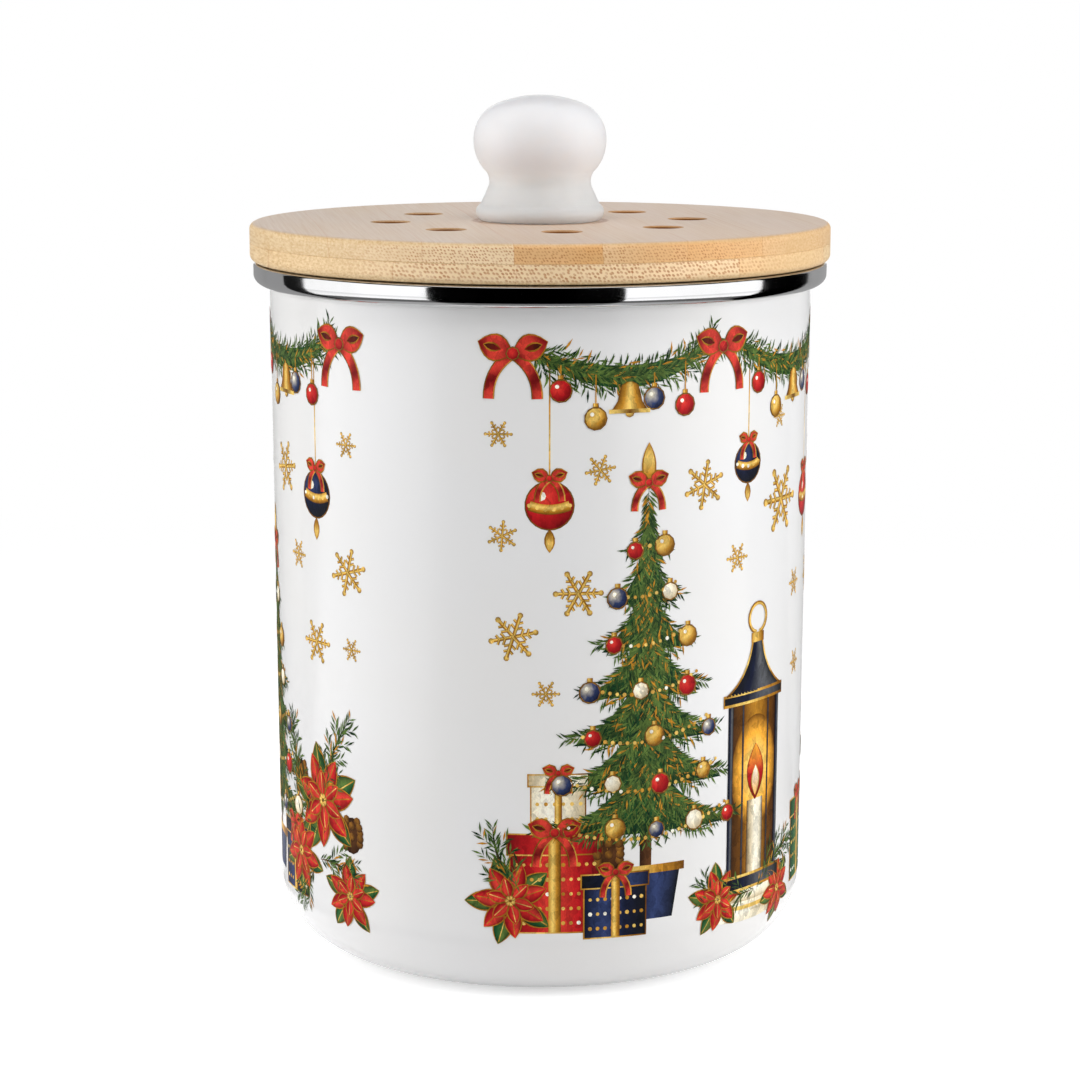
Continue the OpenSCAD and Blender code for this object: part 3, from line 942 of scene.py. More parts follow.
def perforation_tree(name: str, material: Material) -> GeometryTree:
    """A tree that drills a ring of bevelled holes and a centre hole through a board.

    Args:
        name: the tree's name.
        material: what the board is made of.
    Returns:
        The finished tree.
    """
    made = GeometryTree(
        name, ("Count", "Int", 8), ("Circle Radius", "Float", 0.04), ("Hole Radius", "Float", 0.005),
        ("Low", "Float", 0.0), ("High", "Float", 0.01), ("Bevel", "Float", 0.0004),
        ("Turn", "Float", 0.0), ("Centre Radius", "Float", 0.002))
    g = made.graph
    over = 2 * MM
    depth = made["High"] - made["Low"] + 2 * over
    middle = (made["High"] + made["Low"]) * 0.5
    drill = g.node("GeometryNodeMeshCylinder",
                   {"Vertices": 64, "Radius": made["Hole Radius"], "Depth": depth})["Mesh"]
    wide = made["Hole Radius"] + made["Bevel"] + over
    flare = g.node("GeometryNodeMeshCone",
                   {"Vertices": 64, "Radius Top": wide, "Radius Bottom": made["Hole Radius"],
                    "Depth": made["Bevel"] + over})["Mesh"]
    rim = g.join(0.0, 0.0, made["High"] - middle - made["Bevel"])
    lifted = g.node("GeometryNodeTransform", {0: flare, "Translation": rim})[0]
    cutter = g.node("GeometryNodeMeshBoolean", {"Mesh": drill}, operation="UNION", solver="EXACT")
    made.tree.links.new(lifted.socket, cutter.node.inputs["Mesh 2"])
    circle = g.node("GeometryNodeMeshCircle",
                    {"Vertices": made["Count"], "Radius": made["Circle Radius"]})[0]
    turned_circle = g.node("GeometryNodeTransform",
                           {0: circle, "Translation": g.join(0.0, 0.0, middle),
                            "Rotation": g.join(0.0, 0.0, made["Turn"])})[0]
    drills = g.node("GeometryNodeInstanceOnPoints",
                    {"Points": turned_circle, "Instance": cutter[0]})[0]
    centre = g.node("GeometryNodeMeshCylinder",
                    {"Vertices": 48, "Radius": made["Centre Radius"], "Depth": depth})["Mesh"]
    centred = g.node("GeometryNodeTransform",
                     {0: centre, "Translation": g.join(0.0, 0.0, middle)})[0]
    cut = g.node("GeometryNodeMeshBoolean", {"Mesh 1": made["Geometry"]}, operation="DIFFERENCE",
                 solver="EXACT")
    real = g.node("GeometryNodeRealizeInstances", {0: drills})[0]
    made.tree.links.new(real.socket, cut.node.inputs["Mesh 2"])
    made.tree.links.new(centred.socket, cut.node.inputs["Mesh 2"])
    made.close(cut[0], material)
    return made


def strew_tree(material: Material) -> GeometryTree:
    """A tree that strews thin flat flecks along paths: fir needles to both sides, or beads in a row.

    Args:
        material: the ink.
    Returns:
        The finished tree.
    """
    made = GeometryTree(
        "strew", ("Sides", "Int", 6), ("Spacing", "Float", 0.9 * MM), ("Length", "Float", 3.4 * MM),
        ("Width", "Float", 0.5 * MM), ("Shift", "Float", 0.5), ("Spread", "Float", 0.6),
        ("Scatter", "Float", 0.25), ("Thickness", "Float", INK_STEP * MM),
        ("Relief", "Float", 0.08 * MM), ("Least Scale", "Float", 0.7), ("Most Scale", "Float", 1.1),
        ("Accent Share", "Float", 0.1), ("Seed", "Int", 1), ("Dark", "Color", (0, 0, 0, 1)),
        ("Light", "Color", (1, 1, 1, 1)), ("Accent", "Color", (1, 1, 0, 1)))
    g = made.graph

    def chance(low: Any, high: Any, shift: int) -> Wire:
        """A random value for each fleck, drawn with the seed plus a shift."""
        inputs = {"Min": low, "Max": high, "Seed": made["Seed"] + shift}
        return g.node("FunctionNodeRandomValue", inputs, data_type="FLOAT")[0]

    fleck = g.node("GeometryNodeMeshCylinder",
                   {"Vertices": made["Sides"], "Radius": 0.5, "Depth": made["Thickness"]})["Mesh"]
    fleck = g.node("GeometryNodeTransform",
                   {0: fleck, "Scale": g.join(made["Length"], made["Width"], 1.0),
                    "Translation": g.join(made["Length"] * made["Shift"], 0.0, 0.0)})[0]
    curves = g.node("GeometryNodeMeshToCurve", {0: made["Geometry"]})[0]
    rows = g.node("GeometryNodeResampleCurve", {0: curves, "Length": made["Spacing"]},
                  mode="LENGTH")[0]
    rows = g.node("GeometryNodeSetPosition",
                  {0: rows, "Offset": g.join(0.0, 0.0, chance(0.0, made["Relief"], 1))})[0]
    east, north, _ = g.split(g.node("GeometryNodeInputTangent")[0])
    side = g.node("GeometryNodeInputIndex")[0].math("MODULO", 2.0) * 2.0 - 1.0
    heading = north.math("ARCTAN2", east) + side * made["Spread"]
    heading = heading + chance(made["Scatter"] * -1.0, made["Scatter"], 2)
    size = chance(made["Least Scale"], made["Most Scale"], 3)
    strewn = g.node("GeometryNodeInstanceOnPoints",
                    {"Points": rows, "Instance": fleck, "Rotation": g.join(0.0, 0.0, heading),
                     "Scale": g.join(size, size, 1.0)})[0]
    accent = chance(0.0, 1.0, 4).math("LESS_THAN", made["Accent Share"])
    ink = g.mix(accent, g.mix(chance(0.0, 1.0, 5), made["Dark"], made["Light"]), made["Accent"])
    painted = g.node("GeometryNodeStoreNamedAttribute",
                     {"Geometry": strewn, "Name": INK, "Value": ink},
                     data_type="FLOAT_COLOR", domain="INSTANCE")[0]
    made.close(painted, material)
    return made


def whorl_tree(material: Material) -> GeometryTree:
    """A tree that sets a ring of one drawn petal or arm on each point, by the point's size and turn.

    Args:
        material: the ink.
    Returns:
        The finished tree.
    """
    made = GeometryTree("whorl", ("Petal", "Object", None), ("Count", "Int", 6),
                        ("Lift", "Float", INK_STEP * MM))
    g = made.graph
    petal = g.node("GeometryNodeObjectInfo", {"Object": made["Petal"]})["Geometry"]
    index = g.node("GeometryNodeInputIndex")[0]
    hub = g.node("GeometryNodePoints",
                 {"Count": made["Count"], "Position": g.join(0.0, 0.0, index * made["Lift"])})[0]
    ring = g.node("GeometryNodeInstanceOnPoints",
                  {"Points": hub, "Instance": petal,
                   "Rotation": g.join(0.0, 0.0, index * math.tau / made["Count"])})[0]
    size, turn = (g.node("GeometryNodeInputNamedAttribute", {"Name": name}, data_type="FLOAT")[0]
                  for name in ("size", "turn"))
    whorls = g.node("GeometryNodeInstanceOnPoints",
                    {"Points": made["Geometry"], "Instance": ring, "Rotation": g.join(0.0, 0.0, turn),
                     "Scale": g.join(size, size, 1.0)})[0]
    made.close(whorls, material)
    return made


def wrap_tree(material: Material) -> GeometryTree:
    """A tree that lays a flat panel round the canister twice: x runs round, y is the height.

    Args:
        material: the ink.
    Returns:
        The finished tree.
    """
    made = GeometryTree(
        "wrap", ("Wall Radius", "Float", 0.079), ("Wall Draft", "Float", 0.0013),
        ("Corner Radius", "Float", 0.022), ("Rim Height", "Float", 0.199),
        ("First Azimuth", "Float", 0.0), ("Second Azimuth", "Float", math.pi))
    g = made.graph
    across, height, depth = g.split(g.node("GeometryNodeInputPosition")[0])
    corner = made["Corner Radius"]
    drop = (corner - height).math("MAXIMUM", 0.0)
    inset = corner - (corner * corner - drop * drop) ** 0.5
    rise = ((height - corner) / (made["Rim Height"] - corner)).math("MAXIMUM", 0.0)
    radius = made["Wall Radius"] - made["Wall Draft"] * (1.0 - rise) - inset + depth
    joined = g.node("GeometryNodeJoinGeometry")
    for azimuth in (made["First Azimuth"], made["Second Azimuth"]):
        angle = azimuth + across / made["Wall Radius"]
        spot = g.join(radius * angle.math("SINE"), radius * angle.math("COSINE") * -1.0, height)
        panel = g.node("GeometryNodeSetPosition", {0: made["Geometry"], "Position": spot})[0]
        made.tree.links.new(panel.socket, joined.node.inputs[0])
    made.close(joined[0], material)
    return made


# ---------------- flat artwork


class Paint(Enum):
    """The print's colours."""

    DEEP_GREEN = srgb(14, 46, 28)
    GREEN = srgb(34, 92, 48)
    PALE_GREEN = srgb(98, 124, 58)
    DEEP_RED = srgb(116, 12, 18)
    RED = srgb(188, 26, 32)
    PALE_RED = srgb(222, 66, 54)
    DEEP_GOLD = srgb(108, 66, 16)
    GOLD = srgb(190, 132, 38)
    PALE_GOLD = srgb(242, 206, 112)
    NAVY = srgb(20, 26, 50)
    PALE_NAVY = srgb(50, 64, 110)
    BLACK = srgb(20, 22, 26)
    GREY = srgb(92, 94, 100)
    CREAM = srgb(240, 230, 206)
    PALE_CREAM = srgb(252, 248, 236)
    DEEP_CREAM = srgb(196, 176, 140)
    BROWN = srgb(98, 60, 32)
    DEEP_BROWN = srgb(52, 30, 16)
    FLAME = srgb(252, 178, 60)


GILT = (Paint.DEEP_GOLD, Paint.GOLD, Paint.PALE_GOLD, Paint.GOLD)
RUBY = (Paint.DEEP_RED, Paint.RED, Paint.PALE_RED)
PEARL = (Paint.DEEP_CREAM, Paint.CREAM, Paint.PALE_CREAM)
MOONLIT = (Paint.NAVY, Paint.PALE_NAVY, Paint.CREAM)
MIDNIGHT = (Paint.BLACK, Paint.NAVY, Paint.PALE_NAVY)
Shade = Callable[[np.ndarray, np.ndarray], np.ndarray]


def blend(share: np.ndarray, *stops: Paint) -> np.ndarray:
    """Colours between evenly spaced stops, by a share from 0 to 1.

    Args:
        share: where each point lies.
        stops: the paints.
    Returns:
        A colour for each point.
    """
    places = np.linspace(0.0, 1.0, len(stops)) if len(stops) > 1 else np.array([0.0])
    parts = [np.interp(share, places, [stop.value[k] for stop in stops]) for k in range(3)]
    return np.stack(parts, axis=-1)


def along(*stops: Paint) -> Shade:
    """A shade that changes along a film."""
    return lambda forward, sideways: blend(forward, *stops)


def across(*stops: Paint) -> Shade:
    """A shade that changes across a film."""
    return lambda forward, sideways: blend(sideways, *stops)


def folded(dark: Paint, light: Paint, folds: float) -> Shade:
    """A shade that rises and falls along a film, as on folded ribbon.

    Args:
        dark: the paint in the folds.
        light: the paint on the ridges.
        folds: how many there are.
    Returns:
        The shade.
    """

    def shade(forward: np.ndarray, sideways: np.ndarray) -> np.ndarray:
        """The colour between the two at each point."""
        return blend(0.5 - 0.5 * np.cos(forward * folds * math.tau + sideways), dark, light)

    return shade


def ball(*stops: Paint) -> Shade:
    """A shade of a lit ball on a disc, from the rim's colour to the highlight's.

    Args:
        stops: the paints, from the rim to the highlight.
    Returns:
        The shade.
    """

    def shade(outward: np.ndarray, turn: np.ndarray) -> np.ndarray:
        """The colour at a share of the radius and of a turn.

        Args:
            outward: shares of the radius.
            turn: shares of a turn.
        Returns:
            A colour for each point.
        """
        angle = turn * math.tau
        away = np.hypot(outward * np.cos(angle) + 0.35, outward * np.sin(angle) - 0.4)
        return blend(np.clip(1.05 - away / 1.45, 0.0, 1.0), *stops)

    return shade


def route(start: Point, end: Point) -> np.ndarray:
    """A straight path in short steps.

    Args:
        start: its first point.
        end: its last point.
    Returns:
        The path's points.
    """
    steps = max(1, math.ceil(math.dist(start, end) / STEP_MM))
    share = np.linspace(0.0, 1.0, steps + 1)[:, None]
    return np.asarray(start, float) * (1 - share) + np.asarray(end, float) * share


def bent(start: Point, end: Point, bow: float, most_mm: float = 1.6) -> np.ndarray:
    """A path that bows to the left by a share of its length.

    Args:
        start: its first point.
        end: its last point.
        bow: that share.
        most_mm: about the longest step.
    Returns:
        The path's points.
    """
    begin, finish = np.asarray(start, float), np.asarray(end, float)
    way = finish - begin
    middle = (begin + finish) / 2 + np.array([-way[1], way[0]]) * bow * 2
    steps = max(3, math.ceil(np.hypot(*way) / most_mm))
    share = np.linspace(0.0, 1.0, steps + 1)[:, None]
    return begin * (1 - share) ** 2 + middle * 2 * share * (1 - share) + finish * share**2


def spindle(count: int, widest: float) -> np.ndarray:
    """Widths that swell and shrink along a path."""
    return 0.12 + widest * np.sin(np.pi * np.linspace(0.0, 1.0, count))


@dataclass
class Artwork:
    """Thin closed films of ink on a flat panel, gathered into one mesh. Millimetres.

    A layer counts how many steps of ink a film lies above the panel.
    """

    verts: list[np.ndarray] = field(default_factory=list)
    inks: list[np.ndarray] = field(default_factory=list)
    faces: list[tuple[int, ...]] = field(default_factory=list)
    count: int = 0

    def film(self, points: np.ndarray, faces: list[tuple[int, ...]], rim: list[int], layer: int,
             inks: np.ndarray) -> None:
        """Adds a film.

        Args:
            points: its points on the panel.
            faces: its faces, anticlockwise.
            rim: the points round its edge, anticlockwise.
            layer: its layer.
            inks: the colour of each point.
        """
        size, start = len(points), self.count
        self.verts.append(np.column_stack([points, np.full(size, layer * INK_STEP)]))
        self.verts.append(np.column_stack([points, np.full(size, (layer - 0.9) * INK_STEP)]))
        self.inks += [inks, inks]
        self.faces += [tuple(start + i for i in face) for face in faces]
        self.faces += [tuple(start + size + i for i in reversed(face)) for face in faces]
        self.faces += [(start + size + a, start + size + b, start + b, start + a)
                       for a, b in zip(rim, rim[1:] + rim[:1])]
        self.count += 2 * size

    def sheet(self, right: np.ndarray, left: np.ndarray, layer: int, shade: Shade) -> None:
        """Adds a film between two paths that run side by side.

        Args:
            right, left: the paths, with as many points each.
            layer: its layer.
            shade: its colours along and across.
        """
        outline = np.concatenate([right, left[::-1]])
        ahead = np.roll(outline, -1, axis=0)
        if np.sum(outline[:, 0] * ahead[:, 1] - outline[:, 1] * ahead[:, 0]) < 0:
            right, left = left, right
        rows = len(right)
        widest = np.hypot(*(left - right).T).max()
        cols = max(math.ceil(widest / 1.5), math.ceil(min(widest / 0.45, 3.0))) + 1
        share = np.linspace(0.0, 1.0, cols)
        points = right[:, None] * (1 - share)[:, None] + left[:, None] * share[:, None]
        inks = shade(np.repeat(np.linspace(0.0, 1.0, rows), cols), np.tile(share, rows))
        faces = [(i * cols + k, (i + 1) * cols + k, (i + 1) * cols + k + 1, i * cols + k + 1)
                 for i in range(rows - 1) for k in range(cols - 1)]
        last = (rows - 1) * cols
        rim = [i * cols for i in range(rows)] + [last + k for k in range(1, cols)]
        rim += [i * cols + cols - 1 for i in range(rows - 2, -1, -1)] + list(range(cols - 2, 0, -1))
        self.film(points.reshape(-1, 2), faces, rim, layer, inks)

    def stroke(self, path: np.ndarray, width: float | np.ndarray, layer: int, shade: Shade) -> None:
        """Adds a brush stroke along a path.

        Args:
            path: the path.
            width: its width, everywhere or at each point.
            layer: its layer.
            shade: its colours along and across.
        """
        heading = np.gradient(path, axis=0)
        heading /= np.hypot(*heading.T)[:, None]
        half = np.column_stack([-heading[:, 1], heading[:, 0]]) * (np.atleast_1d(width) / 2)[:, None]
        self.sheet(path - half, path + half, layer, shade)

    def disc(self, centre: Point, radius: float, layer: int, shade: Shade, flat: float = 1.0) -> None:
        """Adds a disc, or an ellipse that is as high as its width times flat.

        Args:
            centre: its middle.
            radius: half its width.
            layer: its layer.
            shade: its colours outwards and round.
            flat: that share.
        """
        spokes = max(8, min(40, math.ceil(radius * 3.2)))
        rings = max(1, math.ceil(radius / 2.0))
        turn = np.linspace(0.0, 1.0, spokes, endpoint=False)
        unit = np.column_stack([np.cos(turn * math.tau), np.sin(turn * math.tau) * flat])
        points = [np.array([centre], float)]
        outward, turns = [np.zeros(1)], [np.zeros(1)]
        for k in range(1, rings + 1):
            points.append(np.asarray(centre) + unit * radius * k / rings)
            outward.append(np.full(spokes, k / rings))
            turns.append(turn)
        faces = [(0, 1 + j, 1 + (j + 1) % spokes) for j in range(spokes)]
        for k in range(rings - 1):
            low, high = 1 + k * spokes, 1 + (k + 1) * spokes
            faces += [(low + j, high + j, high + (j + 1) % spokes, low + (j + 1) % spokes)
                      for j in range(spokes)]
        rim = [1 + (rings - 1) * spokes + j for j in range(spokes)]
        inks = shade(np.concatenate(outward), np.concatenate(turns))
        self.film(np.concatenate(points), faces, rim, layer, inks)

    def build(self, name: str) -> Piece:
        """The flat mesh, with its colours.

        Args:
            name: the object's name.
        Returns:
            The object.
        """
        made = add_mesh(name, (np.concatenate(self.verts) * MM).tolist(), self.faces)
        colours = np.concatenate(self.inks)
        layer = made.data.attributes.new(INK, "FLOAT_COLOR", "POINT")
        layer.data.foreach_set("color", np.column_stack([colours, np.ones(len(colours))]).ravel())
        return made


@dataclass
class Motifs(Artwork):
    """The things that the print shows, drawn with films, and the paths that carry loose flecks."""

    twigs: list[Laid] = field(default_factory=list)
    strings: list[Laid] = field(default_factory=list)

    def petal(self, base: Point, tip: Point, bulge: float, layer: int, shade: Shade,
              edge: Paint = Paint.GOLD) -> None:
        """Adds a pointed petal, leaf, loop or flame with a thin edge.

        Args:
            base: where it starts.
            tip: where it ends.
            bulge: half its width, as a share of its length.
            layer: its layer.
            shade: its colours.
            edge: the edge's paint at the tip.
        """
        left, right = bent(base, tip, bulge), bent(base, tip, -bulge)
        self.sheet(right, left, layer, shade)
        for side in (left, right):
            self.stroke(side, spindle(len(side), 0.34), layer + 1, along(Paint.DEEP_GOLD, edge))

    def panel(self, low: Point, high: Point, layer: int, *paints: Paint) -> None:
        """Adds an upright rectangle between two corners, painted from left to right."""
        rows = route((0.0, low[1]), (0.0, high[1])) * (0, 1)
        self.sheet(rows + (high[0], 0), rows + (low[0], 0), layer, across(*paints))

    def bauble(self, centre: Point, radius: float, layer: int, *stops: Paint) -> None:
        """Adds a bauble with a gold edge, a cap and a highlight.

        Args:
            centre: its middle.
            radius: its radius.
            layer: its layer.
            stops: its paints, from the rim to the highlight.
        """
        u, v = centre
        self.panel((u - 0.8, v + radius - 0.4), (u + 0.8, v + radius + 1.3), layer, *GILT)
        self.disc(centre, radius + 0.4, layer + 1, along(Paint.PALE_GOLD, Paint.DEEP_GOLD))
        self.disc(centre, radius, layer + 2, ball(*stops))
        glint = (u - radius * 0.35, v + radius * 0.4)
        self.disc(glint, radius * 0.2, layer + 3, along(Paint.PALE_CREAM))

    def ribbon(self, path: np.ndarray, width: float, layer: int) -> None:
        """Adds a red ribbon with gold edges."""
        self.stroke(path, width + 0.7, layer, across(*GILT))
        self.stroke(path, width, layer + 1, folded(Paint.DEEP_RED, Paint.PALE_RED, 1.4))

    def bow(self, centre: Point, size: float, layer: int) -> None:
        """Adds a bow: two tails, two loops with their dark insides, and a knot.

        Args:
            centre: the knot.
            size: the length of a loop.
            layer: its layer.
        """
        u, v = centre
        for side in (-1.0, 1.0):
            tail = bent(centre, (u + side * size * 0.7, v - size * 1.3), side * 0.14)
            self.ribbon(tail, size * 0.26, layer)
            red = folded(Paint.DEEP_RED, Paint.PALE_RED, 0.9)
            self.petal(centre, (u + side * size, v + size * 0.34), 0.36, layer + 2, red)
            near, far = ((u + side * size * x, v + size * y) for x, y in ((0.34, 0.12), (0.84, 0.26)))
            self.petal(near, far, 0.22, layer + 4, along(Paint.DEEP_RED, Paint.DEEP_BROWN))
        self.disc(centre, size * 0.21, layer + 5, along(Paint.PALE_GOLD, Paint.DEEP_GOLD))
        self.disc(centre, size * 0.17, layer + 6, ball(*RUBY))

    def gift(self, low: Point, width: float, height: float, layer: int, *paper: Paint) -> None:
        """Adds a wrapped box with a lid, gold ribbons, rows of dots and a bow.

        Args:
            low: its lower left corner.
            width, height: its size.
            layer: its layer.
            paper: the paper's paints, from left to right.
        """
        left, bottom = low
        right, top, middle = left + width, bottom + height, left + width / 2
        seam, tie = top - height * 0.2, width * 0.07
        self.panel((left - 0.4, bottom - 0.4), (right + 0.4, top), layer, *GILT)
        self.panel((left, bottom), (right, seam), layer + 1, *paper)
        self.panel((left - 1.2, seam - 0.4), (right + 1.2, top + 0.4), layer + 2, *GILT)
        self.panel((left - 0.8, seam), (right + 0.8, top), layer + 3, *paper[::-1])
        for row in np.arange(bottom + 2.6, seam - 1.5, 4.2):
            self.strings.append((route((left + 1.6, row), (right - 1.2, row)), layer + 2))
        self.panel((middle - tie, bottom), (middle + tie, top), layer + 4, *GILT)
        self.bow((middle, top + 0.6), width * 0.3, layer + 5)

    def lantern(self, foot: Point, width: float, height: float, layer: int) -> None:
        """Adds a lantern: panes with a candle and its glow, bars, plates, a roof and a ring.

        Args:
            foot: the middle of its foot.
            width: the width of its panes.
            height: its height.
            layer: its layer.
        """
        u, bottom = foot
        half, sill = width / 2, bottom + 4.0
        eaves, ridge = bottom + height * 0.62, bottom + height * 0.8
        iron = (Paint.BLACK, Paint.GREY, Paint.NAVY, Paint.BLACK)
        panes = (Paint.DEEP_BROWN, Paint.DEEP_GOLD, Paint.GOLD, Paint.DEEP_GOLD, Paint.DEEP_BROWN)
        self.panel((u - half + 1, sill), (u + half - 1, eaves), layer, *panes)
        wick = sill + (eaves - sill) * 0.42
        halo = along(Paint.PALE_CREAM, Paint.PALE_GOLD, Paint.FLAME, Paint.DEEP_GOLD)
        self.disc((u, wick + height * 0.09), half - 1.4, layer + 1, halo, 1.5)
        wax = (Paint.DEEP_BROWN, Paint.CREAM, Paint.PALE_CREAM, Paint.CREAM, Paint.DEEP_CREAM,
               Paint.DEEP_BROWN)
        self.panel((u - half * 0.32, sill), (u + half * 0.32, wick), layer + 2, *wax)
        self.petal((u, wick - 0.3), (u, wick + height * 0.18), 0.24, layer + 3,
                   along(Paint.DEEP_RED, Paint.RED, Paint.FLAME), Paint.RED)
        self.petal((u, wick + 0.8), (u, wick + height * 0.11), 0.2, layer + 4,
                   along(Paint.FLAME, Paint.PALE_CREAM), Paint.PALE_GOLD)
        for x, thick in ((-half * 0.5, 0.4), (half * 0.5, 0.4), (0.9 - half, 1.0), (half - 0.9, 1.0)):
            self.panel((u + x - thick, sill), (u + x + thick, eaves), layer + 4, *iron)
        for low, high, past in ((bottom, sill, 1.5), (eaves - 1.2, eaves + 1.6, 1.8)):
            reach = half + past
            self.panel((u - reach - 0.4, low - 0.4), (u + reach + 0.4, high + 0.4), layer + 5, *GILT)
            self.panel((u - reach, low + 0.4), (u + reach, high - 0.4), layer + 6, *iron)
        slopes = [bent((u + side * (half + 1), eaves + 1.6), (u + side * 2.4, ridge), side * 0.12)
                  for side in (1.0, -1.0)]
        self.sheet(*slopes, layer + 5, across(*iron))
        for slope in slopes:
            self.stroke(slope, 0.6, layer + 6, along(*GILT))
        self.panel((u - 3, ridge - 0.4), (u + 3, ridge + 2.4), layer + 7, *GILT)
        ring = np.array(arc((u, ridge + 6.6), 4.2, -80, 260, 24))
        self.stroke(ring, 1.1, layer + 6, across(*GILT))

    def bell(self, top: Point, size: float, layer: int) -> None:
        """Adds a gold bell that hangs from its top.

        Args:
            top: where it hangs.
            size: its height.
            layer: its layer.
        """
        u, v = top
        flare = ((0.12, 0.0), (0.3, 0.1), (0.38, 0.35), (0.44, 0.65), (0.6, 0.9), (0.72, 1.0))
        right, left = (np.array(flare) * size * (side, -1) + top for side in (1, -1))
        self.disc((u, v - size * 1.05), size * 0.17, layer, ball(*GILT))
        self.sheet(right, left, layer + 1, across(*GILT, Paint.DEEP_GOLD))
        lip = route((u - size * 0.74, v - size), (u + size * 0.74, v - size))
        shine = along(Paint.PALE_GOLD, Paint.DEEP_GOLD, Paint.PALE_GOLD)
        self.stroke(lip, size * 0.14, layer + 2, shine)

    def cone(self, centre: Point, size: float, layer: int) -> None:
        """Adds a pine cone with overlapping scales.

        Args:
            centre: its middle.
            size: its width.
            layer: its layer.
        """
        u, v = centre
        self.disc(centre, size * 0.5, layer, along(Paint.BROWN, Paint.DEEP_BROWN), 1.35)
        for row in range(6):
            height = 0.55 - row * 0.2
            reach = 0.42 * math.sqrt(max(0.0, 1 - (height / 0.72) ** 2))
            for x in np.linspace(-reach, reach, 2 + (row % 2) if row < 5 else 1):
                scale = (u + x * size, v + height * size)
                self.disc(scale, size * 0.17, layer + 1 + row % 2,
                          ball(Paint.DEEP_BROWN, Paint.BROWN, Paint.GOLD))

    def fir(self, foot: Point, height: float, spread: float, tiers: int, layer: int) -> None:
        """Adds a potted fir tree with bead chains, baubles and a finial.

        Args:
            foot: the middle of the pot's foot.
            height: its height.
            spread: its width.
            tiers: how many rows of branches it has.
            layer: its layer.
        """
        u, bottom = foot
        pot, tip = bottom + height * 0.12, bottom + height
        navy = (Paint.BLACK, Paint.PALE_NAVY, Paint.NAVY, Paint.BLACK)
        flanks = [np.array([(u + side * spread * 0.13, bottom), (u + side * spread * 0.17, pot)])
                  for side in (1.0, -1.0)]
        self.sheet(*flanks, layer, across(*navy))
        self.panel((u - spread * 0.19, pot - 1.6), (u + spread * 0.19, pot + 0.8), layer + 1, *GILT)
        trunk_top = pot + height * 0.1
        self.panel((u - 1.8, pot), (u + 1.8, trunk_top), layer, Paint.BROWN, Paint.DEEP_BROWN)
        low = pot + height * 0.07
        step = (tip - low) / (tiers + 0.7)
        globes = (RUBY, GILT, MOONLIT, PEARL)
        for tier in range(tiers):
            base, half = low + step * tier, spread / 2 * (1 - tier / (tiers + 0.3))
            peak = min(base + step * 2.0, tip)
            sides = [bent((u + side * half * 0.9, base + 1.5), (u + side * 0.2, peak), side * 0.1)
                     for side in (1.0, -1.0)]
            self.sheet(*sides, layer + 1, along(Paint.DEEP_GREEN, Paint.GREEN, Paint.DEEP_GREEN))
            for j in np.linspace(-1.0, 1.0, 7 + 2 * round(half / 3)):
                root = (u + half * j * 0.12, peak - (peak - base) * (0.1 + 0.3 * abs(j)))
                end = (u + half * j, base + 3.5 * j * j - 1.2 * math.cos(11 * j))
                self.twigs.append((bent(root, end, -0.12 * j), layer + 2))
            chain = bent((u - half * 0.78, base + 4), (u + half * 0.82, base + 7), -0.1)
            self.strings.append((chain, layer + 9))
            for k, j in enumerate(np.linspace(-0.76, 0.76, max(2, round(half / 7)))):
                spot = (u + half * (j + 0.1 * (-1) ** tier), base + 2.2 + 2.2 * j * j + k % 2)
                radius, paints = 2.3 + 0.5 * ((tier + k) % 2), globes[(tier * 2 + k) % 4]
                self.bauble(spot, radius, layer + 8, *paints)
        self.petal((u, tip - 2), (u, tip + 11), 0.15, layer + 6, along(*GILT))
        self.bow((u, tip), 6.0, layer + 7)

    def plinth(self, centre: Point, width: float, layer: int) -> None:
        """Adds a round cream plinth with a gold band, seen a little from above.

        Args:
            centre: the middle of its top.
            width: its width.
            layer: its layer.
        """
        u, v = centre
        cream = (*PEARL, Paint.CREAM, Paint.DEEP_CREAM)
        for drop, paints in ((-6.0, cream), (-2.4, GILT), (-1.2, cream)):
            self.disc((u, v + drop), width / 2, layer, across(*paints), 0.16)
            self.panel((u - width / 2, v + drop), (u + width / 2, v), layer, *paints)
            layer += 1
        self.disc((u, v), width / 2, layer, along(*PEARL[::-1]), 0.16)

    def pendant(self, top: Point, drop: float, radius: float, layer: int, *stops: Paint) -> None:
        """Adds a large bauble with a beaded belt, hung on a long gold cord with a small bow.

        Args:
            top: where the cord starts.
            drop: the cord's length.
            radius: the bauble's radius.
            layer: its layer.
            stops: its paints, from the rim to the highlight.
        """
        u, v = top
        self.stroke(route(top, (u, v - drop)), 0.45, layer, along(*GILT))
        middle, reach = v - drop - radius, radius * 0.86
        self.bauble((u, middle), radius, layer, *stops)
        belt = bent((u - reach, middle), (u + reach, middle), -0.1, 1.0)
        self.stroke(belt, radius * 0.42, layer + 3, across(*GILT))
        self.strings.append((belt, layer + 4))
        self.petal((u, v - drop - radius * 2), (u, v - drop - radius * 3), 0.2, layer, along(*GILT))
        self.bow((u, v - drop + 1.0), radius * 0.75, layer + 4)

